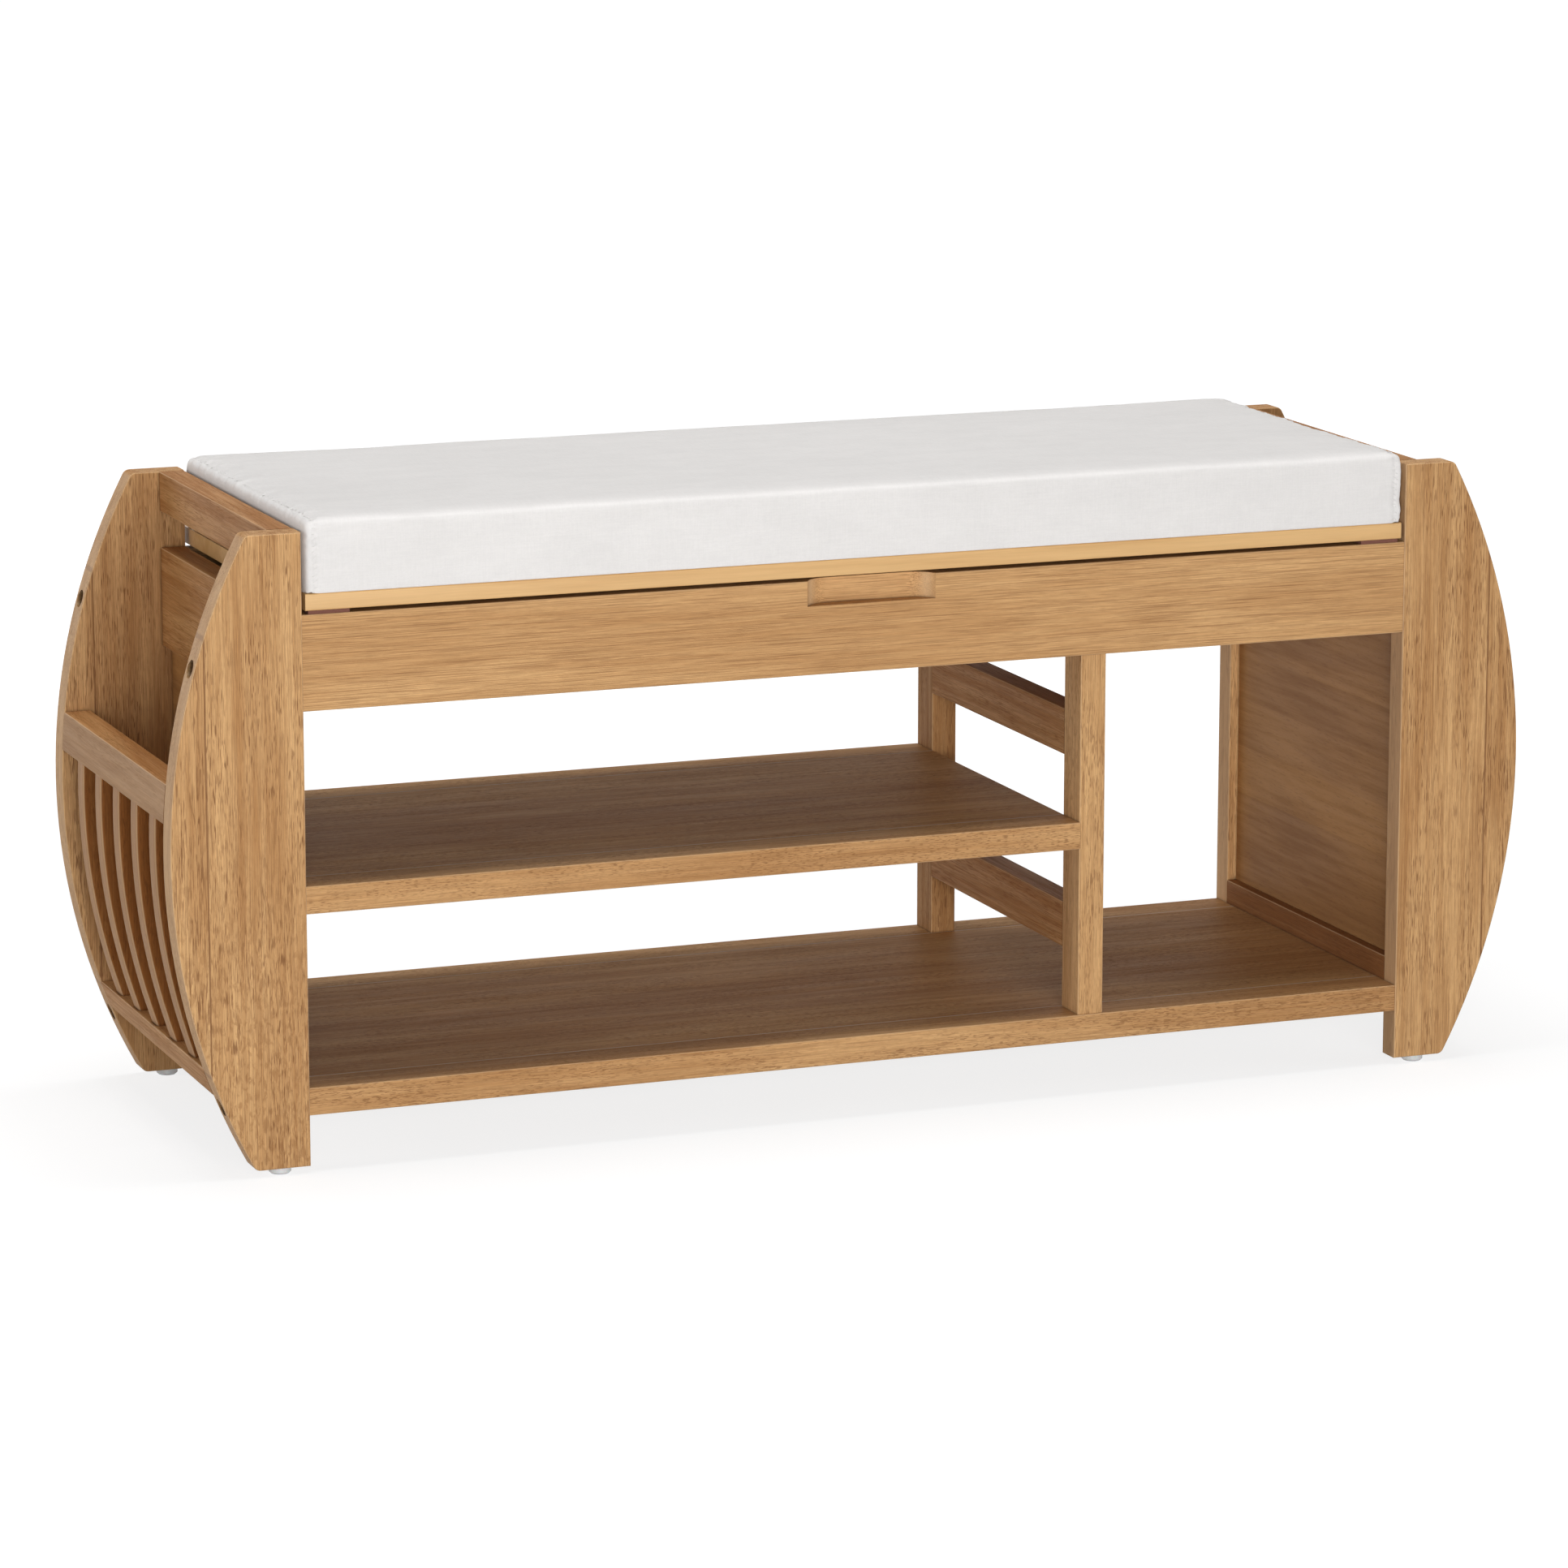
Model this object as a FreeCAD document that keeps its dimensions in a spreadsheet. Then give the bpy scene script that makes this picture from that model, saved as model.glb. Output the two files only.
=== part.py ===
import FreeCAD, Part
import os
import re

import Sketcher

# Storage bench with a lift-up cushioned lid and a magazine rack at each end.
# Millimetres. X runs along the bench, +Y to the back, +Z up; the origin is the
# middle of the footprint on the floor.

SIZES = [
    ("inner_length", 850.0, "between the inner edges of the left and right end panels"),
    ("depth", 318.0, "front face to back face of the end panels"),
    ("stock", 20.0, "thickness of the frame timber"),
    ("slim_stock", 19.0, "thickness of the top rails and side aprons"),
    ("ease", 1.2, "rounding of the long arrises"),
    ("glide_height", 5.0, "height of the plastic glides"),
    ("glide_radius", 8.0, "radius of a glide"),
    ("glide_taper", 1.5, "taper at the foot of a glide"),
    ("glide_nail_radius", 1.3, "radius of a glide's nail"),
    ("glide_nail_length", 12.0, "length of a glide's nail"),
    ("panel_height", 452.5, "height of an end panel"),
    ("panel_end_width", 40.0, "width of an end panel at its top and foot"),
    ("curve_radius", 474.0, "radius of the end panels' curved edge"),
    ("corner_radius", 6.0, "rounding of the end panels' outer corners"),
    ("setback", 1.0, "long rails behind the end panels' faces"),
    ("apron_drop", 58.2, "top of the front and back aprons below the end panels' top"),
    ("apron_height", 68.3, "height of the front and back aprons"),
    ("side_apron_drop", 56.5, "top of the side aprons below the end panels' top"),
    ("side_apron_height", 73.5, "height of the side aprons"),
    ("top_rail_height", 29.6, "height of the top rails"),
    ("notch_length", 99.0, "length of the finger notch"),
    ("notch_depth", 12.0, "depth of the finger notch into the apron"),
    ("notch_height", 18.3, "height of the finger notch"),
    ("notch_end_radius", 20.0, "cutter radius at the ends of the finger notch"),
    ("box_board", 5.0, "thickness of the storage box's bottom board"),
    ("box_board_rise", 6.0, "height of the bottom board above the aprons' underside"),
    ("groove_depth", 6.0, "depth of the grooves for thin boards"),
    ("groove_slack", 0.5, "gap between a thin board's edge and its groove's bottom"),
    ("groove_play", 0.05, "play on each face of a thin board in its groove"),
    ("wall_near", 8.0, "end wall's inner face outside the end panels' inner edges"),
    ("wall_board", 4.0, "thickness of the plywood end walls"),
    ("shelf_board", 20.0, "thickness of the shelf rails"),
    ("shelf_rail_width", 32.0, "width of a shelf rail that shows"),
    ("shelf_ledge", 8.0, "width of the ledge that carries a shelf panel"),
    ("shelf_panel", 12.0, "thickness of the shelf panels"),
    ("bottom_shelf_top", 61.4, "top of the bottom shelf"),
    ("middle_shelf_top", 206.6, "top of the middle shelf"),
    ("sill_top", 80.0, "top of the end sills"),
    ("post_x", 165.2, "left face of the divider posts"),
    ("post_width", 20.0, "divider post, along the bench"),
    ("post_depth", 30.0, "divider post, front to back"),
    ("post_setback", 2.5, "divider posts behind the end panels' faces"),
    ("cross_rail_height", 34.5, "height of the divider's cross rails"),
    ("cross_rail_rise", 45.0, "divider's cross rails above the shelf under them"),
    ("rack_rail_bottom", 254.7, "underside of a rack rail"),
    ("rack_rail_height", 28.5, "height of a rack rail"),
    ("rack_rail_depth", 20.0, "rack rail from its inner face to its curved top edge"),
    ("rack_floor_top", 77.5, "top of a rack floor board"),
    ("slat_width", 16.0, "rack slat, front to back"),
    ("slat_depth", 18.0, "rack slat, across the bench"),
    ("slat_inset", 3.0, "rack slats inside the curved edge"),
    ("slat_ease", 2.2, "rounding of the slats' arrises"),
    ("lid_board", 12.0, "thickness of the lid"),
    ("lid_end_gap", 2.7, "gap between a lid end and the end panels"),
    ("rebate_width", 7.4, "lid's rear edge behind the hinge axis"),
    ("rebate_depth", 13.0, "depth of the back apron's rear rebate"),
    ("tape_board", 1.2, "thickness of the fastening tapes"),
    ("tape_length", 760.0, "length of a fastening tape"),
    ("tape_width", 25.0, "width of a fastening tape"),
    ("tape_inset", 58.0, "middle of a fastening tape inside the aprons' faces"),
    ("cushion_height", 53.0, "thickness of the cushion at its edge"),
    ("cushion_end_gap", 1.5, "gap between a cushion end and the top rails"),
    ("cushion_back_gap", 0.6, "back of the cushion before the hinge axis"),
    ("cushion_round", 9.0, "rounding of the cushion"),
    ("hinge_x", 260.0, "hinge from the bench's middle"),
    ("hinge_length", 60.0, "length of a hinge"),
    ("leaf", 1.2, "thickness of a hinge leaf"),
    ("leaf_gap", 0.2, "gap between the leaves of a closed hinge"),
    ("leaf_front", 11.4, "front of a hinge leaf before the axis"),
    ("knuckle_radius", 2.5, "outer radius of the hinge knuckles"),
    ("knuckle_play", 0.3, "gap round the knuckles"),
    ("knuckle_gap", 0.2, "gap between knuckles"),
    ("pin_radius", 1.25, "radius of a hinge pin"),
    ("pin_play", 0.05, "radial play of a hinge pin in the lid leaf"),
    ("pin_head_radius", 2.0, "radius of a hinge pin's heads"),
    ("pin_head", 0.8, "length of a hinge pin's heads"),
    ("hinge_screw_x", 20.0, "hinge screw from the hinge's middle"),
    ("hinge_screw_y", 6.6, "hinge screw before the axis"),
    ("hinge_screw_radius", 1.4, "radius of a hinge screw"),
    ("hinge_screw_head", 2.6, "head radius of a hinge screw"),
    ("hinge_screw_length", 10.0, "length of a hinge screw"),
    ("bolt_radius", 3.0, "radius of a frame bolt"),
    ("bolt_head_radius", 5.0, "head radius of a frame bolt"),
    ("bolt_head", 6.0, "head length of a frame bolt"),
    ("bolt_key", 5.0, "key size of a frame bolt"),
    ("bolt_seat", 45.0, "bolt head's seat outside the inner edge"),
    ("bolt_reach", 35.0, "bolt end inside the inner edge"),
    ("bore_radius", 6.3, "radius of the counterbore"),
    ("nut_radius", 5.0, "radius of a barrel nut"),
    ("nut_length", 12.0, "length of a barrel nut"),
    ("nut_x", 25.0, "barrel nut inside the inner edge"),
    ("nut_slot", 1.4, "width and depth of a barrel nut's slot"),
    ("dowel_radius", 4.0, "radius of a thick dowel"),
    ("dowel_length", 30.0, "length of a thick dowel"),
    ("peg_radius", 3.0, "radius of a thin dowel"),
    ("peg_length", 24.0, "length of a thin dowel"),
    ("peg_inset", 8.0, "thin dowel from a rail's edge"),
    ("peg_spread", 10.0, "thin dowels above and below a frame bolt"),
    ("slat_peg_length", 20.0, "length of a slat's dowel"),
    ("fit", 0.05, "radial play of dowels, bolts and screws in their holes"),
    ("hole_end", 0.5, "depth of a blind hole past its dowel"),
    ("screw_radius", 2.5, "radius of a divider screw"),
    ("screw_head", 4.8, "head radius of a divider screw"),
    ("screw_length", 50.0, "length of a divider screw"),
    ("pad_length", 30.0, "length of a bumper pad"),
    ("pad_width", 10.0, "width of a bumper pad"),
    ("pad_end", 5.0, "bumper pad from the apron's end"),
    ("pad_slack", 0.1, "gap between a bumper pad and the lid"),
]
SLATS = 5
KNUCKLES = 5
SIDES = (("left", -1), ("right", 1))

doc = FreeCAD.newDocument("StorageBench")
sheet = doc.addObject("Spreadsheet::Sheet", "Dims")
for row, (alias, size, note) in enumerate(SIZES, start=1):
    sheet.set(f"A{row}", alias)
    sheet.set(f"B{row}", str(size))
    sheet.set(f"C{row}", note)
    sheet.setAlias(f"B{row}", alias)
doc.recompute()

ALIASES = {alias for alias, size, note in SIZES}
WORD = re.compile(r"[a-z_]+")
PARTS = []

# Levels and planes that several pieces share.
PANEL_TOP = "(glide_height + panel_height)"
CURVE_Z = "(glide_height + panel_height / 2)"
CURVE_OUT = "(panel_end_width - sqrt(curve_radius ^ 2 - (panel_height / 2) ^ 2))"
BULGE = f"({CURVE_OUT} + curve_radius)"
APRON_FACE = "(depth / 2 - setback)"
APRON_INNER = f"({APRON_FACE} - stock)"
APRON_TOP = f"({PANEL_TOP} - apron_drop)"
APRON_BOTTOM = f"({APRON_TOP} - apron_height)"
BOLT_Y = "(depth / 2 - stock / 2)"
BOLT_Z = {"apron": f"({APRON_TOP} - apron_height / 2)", "shelf": "(bottom_shelf_top - shelf_board / 2)"}
END_INNER = "(depth / 2 - stock)"
SIDE_APRON_TOP = f"({PANEL_TOP} - side_apron_drop)"
SIDE_APRON_BOTTOM = f"({SIDE_APRON_TOP} - side_apron_height)"
SILL_BOTTOM = "(bottom_shelf_top - shelf_board)"
POST_FRONT = "(depth / 2 - post_setback)"
POST_INNER = f"({POST_FRONT} - post_depth)"
POST_MIDDLE = "(post_x + post_width / 2)"
LID_GAP = "(2 * leaf + leaf_gap)"
LID_UNDER = f"({APRON_TOP} + {LID_GAP})"
LID_TOP = f"({LID_UNDER} + lid_board)"
AXIS_Y = f"({APRON_FACE} - rebate_width)"
AXIS_Z = f"({APRON_TOP} + {LID_GAP} / 2)"
WALL_BOTTOM = "(sill_top - groove_depth + groove_slack)"
WALL_TOP = f"({SIDE_APRON_BOTTOM} + groove_depth - groove_slack)"
BOX_BOARD_Z = f"({APRON_BOTTOM} + box_board_rise)"
RACK_RAIL_TOP = "(rack_rail_bottom + rack_rail_height)"
RACK_RAIL_ARC = f"sqrt(curve_radius ^ 2 - ({RACK_RAIL_TOP} - {CURVE_Z}) ^ 2)"
RACK_RAIL_NEAR = f"({CURVE_OUT} + {RACK_RAIL_ARC} - rack_rail_depth)"


def ex(text):
    """Turn a formula of size names into a FreeCAD expression."""
    return WORD.sub(lambda m: f"Dims.{m.group(0)}" if m.group(0) in ALIASES else m.group(0), text)


def size(alias):
    return float(sheet.get(alias))


def bind(thing, **formulas):
    for prop, text in formulas.items():
        thing.setExpression(prop, ex(text))


def place(thing, x, y, z):
    for axis, text in zip("xyz", (x, y, z)):
        thing.setExpression(f"Placement.Base.{axis}", ex(text))


def box(name, x, y, z):
    """A box between two planes on each axis, given as (low, high) formulas."""
    block = doc.addObject("Part::Box", name)
    bind(block, Length=f"({x[1]}) - ({x[0]})", Width=f"({y[1]}) - ({y[0]})", Height=f"({z[1]}) - ({z[0]})")
    place(block, x[0], y[0], z[0])
    return block


TURNS = {
    "x": FreeCAD.Rotation(FreeCAD.Vector(0, 1, 0), 90),
    "y": FreeCAD.Rotation(FreeCAD.Vector(1, 0, 0), -90),
    "z": FreeCAD.Rotation(),
    "-x": FreeCAD.Rotation(FreeCAD.Vector(0, 1, 0), -90),
    "-z": FreeCAD.Rotation(FreeCAD.Vector(1, 0, 0), 180),
}


def rod(name, axis, start, radius, length):
    """A cylinder that starts at a point and runs along an axis."""
    bar = doc.addObject("Part::Cylinder", name)
    bar.Placement.Rotation = TURNS[axis]
    bind(bar, Radius=radius, Height=length)
    place(bar, *start)
    return bar


def cone(name, axis, start, radius_a, radius_b, length):
    taper = doc.addObject("Part::Cone", name)
    taper.Placement.Rotation = TURNS[axis]
    bind(taper, Radius1=radius_a, Radius2=radius_b, Height=length)
    place(taper, *start)
    return taper


def fuse(name, shapes):
    joined = doc.addObject("Part::MultiFuse", name)
    joined.Shapes = shapes
    return joined


def cut(name, base, tools):
    """Cut tools from a piece one after another."""
    for number, tool in enumerate(tools, start=1):
        result = doc.addObject("Part::Cut", f"{name}_{number}")
        result.Base = base
        result.Tool = tool
        base = result
    return base


def common(name, base, tool):
    result = doc.addObject("Part::Common", name)
    result.Base = base
    result.Tool = tool
    return result


def group(name, solids):
    bundle = doc.addObject("Part::Compound", name)
    bundle.Links = solids
    return bundle


def finish(label, thing):
    """Record a finished piece under its own name."""
    thing.Label = label
    PARTS.append((label, thing))
    return thing


def ease_edges(name, base, wanted, radius):
    """Round the edges of a solid that a test picks out."""
    doc.recompute()
    picked = [i for i, edge in enumerate(base.Shape.Edges, start=1) if wanted(edge)]
    rounded = doc.addObject("Part::Fillet", name)
    rounded.Base = base
    rounded.Edges = [(i, radius, radius) for i in picked]
    return rounded


def runs_along(edge, axis):
    start, end = edge.Vertexes[0].Point, edge.Vertexes[-1].Point
    step = end - start
    return step.Length > 0 and abs(abs(step.dot(axis)) - step.Length) < 1e-6


AXES = {"x": FreeCAD.Vector(1, 0, 0), "y": FreeCAD.Vector(0, 1, 0), "z": FreeCAD.Vector(0, 0, 1)}


def board(name, x, y, z, grain):
    """A timber board: a body with its long arrises rounded along the grain."""
    body = doc.addObject("PartDesign::Body", f"{name}_timber")
    blank = body.newObject("PartDesign::AdditiveBox", f"{name}_blank")
    bind(blank, Length=f"({x[1]}) - ({x[0]})", Width=f"({y[1]}) - ({y[0]})", Height=f"({z[1]}) - ({z[0]})")
    place(body, x[0], y[0], z[0])
    doc.recompute()
    edges = blank.Shape.Edges
    picked = [f"Edge{i}" for i, edge in enumerate(edges, start=1) if runs_along(edge, AXES[grain])]
    rounded = body.newObject("PartDesign::Fillet", f"{name}_arrises")
    rounded.Base = (blank, picked)
    bind(rounded, Radius="ease")
    body.Tip = rounded
    return body


def mirror_span(low, high, side):
    """A span outside the inner edge of the left or right end panels."""
    if side > 0:
        return (f"inner_length / 2 + {low}", f"inner_length / 2 + {high}")
    return (f"-inner_length / 2 - ({high})", f"-inner_length / 2 - ({low})")


def outside(distance, side):
    """A plane outside the inner edge of the left or right end panels."""
    return f"{side} * (inner_length / 2 + {distance})"


# Holes and grooves to be cut from each piece, and the solids that fill them.
CUTS = {}
THICK_DOWELS = []
END_DOWELS = []
DIVIDER_DOWELS = []
SLAT_DOWELS = []


def cut_from(pieces, tool):
    for piece in pieces:
        CUTS.setdefault(piece, []).append(tool)


def dowel(name, bundle, axis, centre, radius, length, pieces):
    """A dowel centred on a joint, with its blind holes in both pieces."""
    def start(extra):
        at = dict(zip("xyz", centre))
        at[axis] = f"{at[axis]} - ({length}) / 2 - {extra}"
        return [at[a] for a in "xyz"]
    bundle.append(rod(name, axis, start("0"), radius, length))
    hole = rod(f"{name}_hole", axis, start("hole_end"), f"{radius} + fit", f"{length} + 2 * hole_end")
    cut_from(pieces, hole)


# End panels: a curved outline padded to the stock's thickness.
def end_panel(name, side, y_text):
    body = doc.addObject("PartDesign::Body", f"{name}_timber")
    plane = next(f for f in body.Origin.OriginFeatures if f.Role == "XZ_Plane")
    sketch = body.newObject("Sketcher::SketchObject", f"{name}_outline")
    sketch.AttachmentSupport = [(plane, "")]
    sketch.MapMode = "FlatFace"
    width, height, radius = size("panel_end_width"), size("panel_height"), size("curve_radius")
    centre = FreeCAD.Vector(width - (radius ** 2 - (height / 2) ** 2) ** 0.5, height / 2, 0)
    corner = [FreeCAD.Vector(0, 0, 0), FreeCAD.Vector(width, 0, 0),
              FreeCAD.Vector(width, height, 0), FreeCAD.Vector(0, height, 0)]
    foot = sketch.addGeometry(Part.LineSegment(corner[0], corner[1]))
    middle = FreeCAD.Vector(centre.x + radius, height / 2, 0)
    curve = sketch.addGeometry(Part.Arc(corner[1], middle, corner[2]))
    top = sketch.addGeometry(Part.LineSegment(corner[2], corner[3]))
    inner = sketch.addGeometry(Part.LineSegment(corner[3], corner[0]))
    con = Sketcher.Constraint
    begin, end = 1, 2
    sketch.addConstraint([
        con("Coincident", foot, begin, -1, begin),
        con("Coincident", foot, end, curve, begin),
        con("Coincident", curve, end, top, begin),
        con("Coincident", top, end, inner, begin),
        con("Coincident", inner, end, foot, begin),
        con("Horizontal", foot),
        con("Horizontal", top),
        con("Vertical", inner),
    ])
    sized = (
        ("foot_width", con("DistanceX", foot, begin, foot, end, width), "panel_end_width"),
        ("top_width", con("DistanceX", top, end, top, begin, width), "panel_end_width"),
        ("height", con("DistanceY", inner, end, inner, begin, height), "panel_height"),
        ("bow", con("Radius", curve, radius), "curve_radius"),
    )
    for constraint_name, constraint, formula in sized:
        index = sketch.addConstraint(constraint)
        sketch.renameConstraint(index, constraint_name)
        sketch.setExpression(f"Constraints.{constraint_name}", ex(formula))
    pad = body.newObject("PartDesign::Pad", f"{name}_pad")
    pad.Profile = sketch
    bind(pad, Length="stock")
    doc.recompute()
    corners = [f"Edge{i}" for i, e in enumerate(pad.Shape.Edges, start=1)
               if runs_along(e, AXES["y"]) and e.Vertexes[0].Point.x > 1e-6]
    soft = body.newObject("PartDesign::Fillet", f"{name}_corners")
    soft.Base = (pad, corners)
    bind(soft, Radius="corner_radius")
    doc.recompute()
    outline = [f"Edge{i}" for i, e in enumerate(soft.Shape.Edges, start=1)
               if not runs_along(e, AXES["y"])]
    rounded = body.newObject("PartDesign::Fillet", f"{name}_arrises")
    rounded.Base = (soft, outline)
    bind(rounded, Radius="ease")
    body.Tip = rounded
    if side < 0:
        body.Placement.Rotation = FreeCAD.Rotation(FreeCAD.Vector(0, 0, 1), 180)
    place(body, f"{side} * inner_length / 2", y_text, "glide_height")
    return body


pieces = {}
for side_name, side in SIDES:
    for row_name, row in (("front", -1), ("back", 1)):
        name = f"end_panel_{row_name}_{side_name}"
        # The pad runs towards -Y, or +Y once the left panels are turned about.
        far = "stock / 2" if side > 0 else "-stock / 2"
        pieces[name] = end_panel(name, side, f"{row} * {BOLT_Y} + {far}")


def long_apron(name, y):
    x = ("-inner_length / 2", "inner_length / 2")
    return board(name, x, y, (APRON_BOTTOM, APRON_TOP), "x")


pieces["front_apron"] = long_apron("front_apron", (f"-{APRON_FACE}", f"-{APRON_INNER}"))
pieces["back_apron"] = long_apron("back_apron", (APRON_INNER, APRON_FACE))
ACROSS = (f"-{END_INNER}", END_INNER)
CURVE = {}
for side_name, side in SIDES:
    centre_x = f"{side} * (inner_length / 2 + {CURVE_OUT})"
    start = (centre_x, "-depth / 2", CURVE_Z)
    CURVE[side] = rod(f"curve_{side_name}", "y", start, "curve_radius", "depth")
    pieces[f"top_rail_{side_name}"] = board(
        f"top_rail_{side_name}", mirror_span("0", "slim_stock", side), ACROSS,
        (f"{PANEL_TOP} - top_rail_height", PANEL_TOP), "y")
    pieces[f"side_apron_{side_name}"] = board(
        f"side_apron_{side_name}", mirror_span("0", "slim_stock", side), ACROSS,
        (SIDE_APRON_BOTTOM, SIDE_APRON_TOP), "y")
    pieces[f"end_sill_{side_name}"] = board(
        f"end_sill_{side_name}", mirror_span("0", "stock", side), ACROSS,
        (SILL_BOTTOM, "sill_top"), "y")
    for piece, near, low, high in (
            ("rack_rail", RACK_RAIL_NEAR, "rack_rail_bottom", RACK_RAIL_TOP),
            ("rack_floor", "stock", "rack_floor_top - stock", "rack_floor_top")):
        name = f"{piece}_{side_name}"
        blank = box(f"{name}_blank", mirror_span(near, BULGE, side), ACROSS, (low, high))
        curved = common(f"{name}_curved", blank, CURVE[side])
        pieces[name] = ease_edges(
            f"{name}_arrises", curved, lambda e: runs_along(e, AXES["y"]), size("ease"))

# Plywood end walls, in grooves all round.
for side_name, side in SIDES:
    wall_span = mirror_span("wall_near", "wall_near + wall_board", side)
    reach = f"({END_INNER} + groove_depth - groove_slack)"
    pieces[f"end_wall_{side_name}"] = box(
        f"end_wall_{side_name}_board", wall_span, (f"-{reach}", reach), (WALL_BOTTOM, WALL_TOP))
    groove = box(
        f"wall_groove_{side_name}",
        mirror_span("wall_near - groove_play", "wall_near + wall_board + groove_play", side),
        (f"-{END_INNER} - groove_depth", f"{END_INNER} + groove_depth"),
        (f"{WALL_BOTTOM} - groove_slack", f"{WALL_TOP} + groove_slack"))
    cut_from([f"end_panel_front_{side_name}", f"end_panel_back_{side_name}",
              f"side_apron_{side_name}", f"end_sill_{side_name}"], groove)

# Bottom board of the storage box, in grooves, notched round the end panels.
reach_x = "(inner_length / 2 + groove_depth - groove_slack)"
reach_y = f"({APRON_INNER} + groove_depth - groove_slack)"
along = box("box_bottom_along", ("-inner_length / 2", "inner_length / 2"), (f"-{reach_y}", reach_y),
            (BOX_BOARD_Z, f"{BOX_BOARD_Z} + box_board"))
over = box("box_bottom_over", (f"-{reach_x}", reach_x), (f"-{APRON_INNER}", APRON_INNER),
           (BOX_BOARD_Z, f"{BOX_BOARD_Z} + box_board"))
pieces["box_bottom"] = fuse("box_bottom_board", [along, over])
box_groove = box(
    "box_groove",
    ("-inner_length / 2 - groove_depth", "inner_length / 2 + groove_depth"),
    (f"-{APRON_INNER} - groove_depth", f"{APRON_INNER} + groove_depth"),
    (f"{BOX_BOARD_Z} - groove_play", f"{BOX_BOARD_Z} + box_board + groove_play"))
cut_from(["front_apron", "back_apron", "side_apron_left", "side_apron_right"], box_groove)


# Shelves: a panel on the ledges of a front and a rear rail.
def shelf(name, right_end, top):
    inner = f"({APRON_FACE} - shelf_rail_width - shelf_ledge)"
    seam = f"({APRON_FACE} - shelf_rail_width)"
    x = ("-inner_length / 2", right_end)
    z = (f"{top} - shelf_board", top)
    pieces[f"{name}_front_rail"] = board(f"{name}_front_rail", x, (f"-{APRON_FACE}", f"-{inner}"), z, "x")
    pieces[f"{name}_rear_rail"] = board(f"{name}_rear_rail", x, (inner, APRON_FACE), z, "x")
    panel_z = (f"{top} - shelf_panel", top)
    pieces[f"{name}_panel"] = box(f"{name}_panel_board", x, (f"-{seam}", seam), panel_z)
    ledge_z = (f"{top} - shelf_panel", f"{top} + ease")
    rebate = box(f"{name}_ledges", x, (f"-{seam}", seam), ledge_z)
    cut_from([f"{name}_front_rail", f"{name}_rear_rail"], rebate)


shelf("bottom_shelf", "inner_length / 2", "bottom_shelf_top")
shelf("middle_shelf", "post_x", "middle_shelf_top")

# Divider: two posts and two cross rails.
POST_X = ("post_x", "post_x + post_width")
POST_Z = ("bottom_shelf_top", APRON_BOTTOM)
for post, post_y in (("divider_post_front", (f"-{POST_FRONT}", f"-{POST_INNER}")),
                     ("divider_post_rear", (POST_INNER, POST_FRONT))):
    pieces[post] = board(post, POST_X, post_y, POST_Z, "z")
for level, shelf_top in (("lower", "bottom_shelf_top"), ("upper", "middle_shelf_top")):
    low = f"({shelf_top} + cross_rail_rise)"
    pieces[f"divider_rail_{level}"] = board(
        f"divider_rail_{level}", POST_X, (f"-{POST_INNER}", POST_INNER),
        (low, f"{low} + cross_rail_height"), "y")
    for row_name, row in (("front", -1), ("rear", 1)):
        for number, height in enumerate((f"{low} + peg_inset", f"{low} + cross_rail_height - peg_inset")):
            dowel(f"divider_peg_{level}_{row_name}_{number}", DIVIDER_DOWELS, "y",
                  (POST_MIDDLE, f"{row} * {POST_INNER}", height), "peg_radius", "peg_length",
                  [f"divider_rail_{level}", f"divider_post_{row_name}"])

# Rack slats between two arcs, on the rack floor and under the rack rail.
for side_name, side in SIDES:
    centre_x = f"{side} * (inner_length / 2 + {CURVE_OUT})"
    outer = rod(f"slat_face_{side_name}", "y", (centre_x, "-depth / 2", CURVE_Z),
                "curve_radius - slat_inset", "depth")
    inner = rod(f"slat_back_{side_name}", "y", (centre_x, "-depth / 2", CURVE_Z),
                "curve_radius - slat_inset - slat_depth", "depth")
    gap = f"((2 * {END_INNER} - {SLATS} * slat_width) / {SLATS + 1})"
    for number in range(1, SLATS + 1):
        name = f"rack_slat_{side_name}_{number}"
        low = f"-{END_INNER} + {number} * {gap} + {number - 1} * slat_width"
        blank = box(f"{name}_blank", mirror_span("stock", BULGE, side), (low, f"{low} + slat_width"),
                    ("rack_floor_top", "rack_rail_bottom"))
        bowed = common(f"{name}_bowed", blank, outer)
        strip = cut(f"{name}_strip", bowed, [inner])
        pieces[name] = ease_edges(
            f"{name}_arrises", strip,
            lambda e: not any(runs_along(e, axis) for axis in (AXES["x"], AXES["y"])), size("slat_ease"))
        middle = f"({low} + slat_width / 2)"
        for end, height, support in (("foot", "rack_floor_top", "rack_floor"),
                                     ("head", "rack_rail_bottom", "rack_rail")):
            across = f"sqrt((curve_radius - slat_inset - slat_depth / 2) ^ 2 - ({height} - {CURVE_Z}) ^ 2)"
            x = outside(f"{CURVE_OUT} + {across}", side)
            dowel(f"{name}_{end}_peg", SLAT_DOWELS, "z", (x, middle, height),
                  "peg_radius", "slat_peg_length", [name, f"{support}_{side_name}"])

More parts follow.
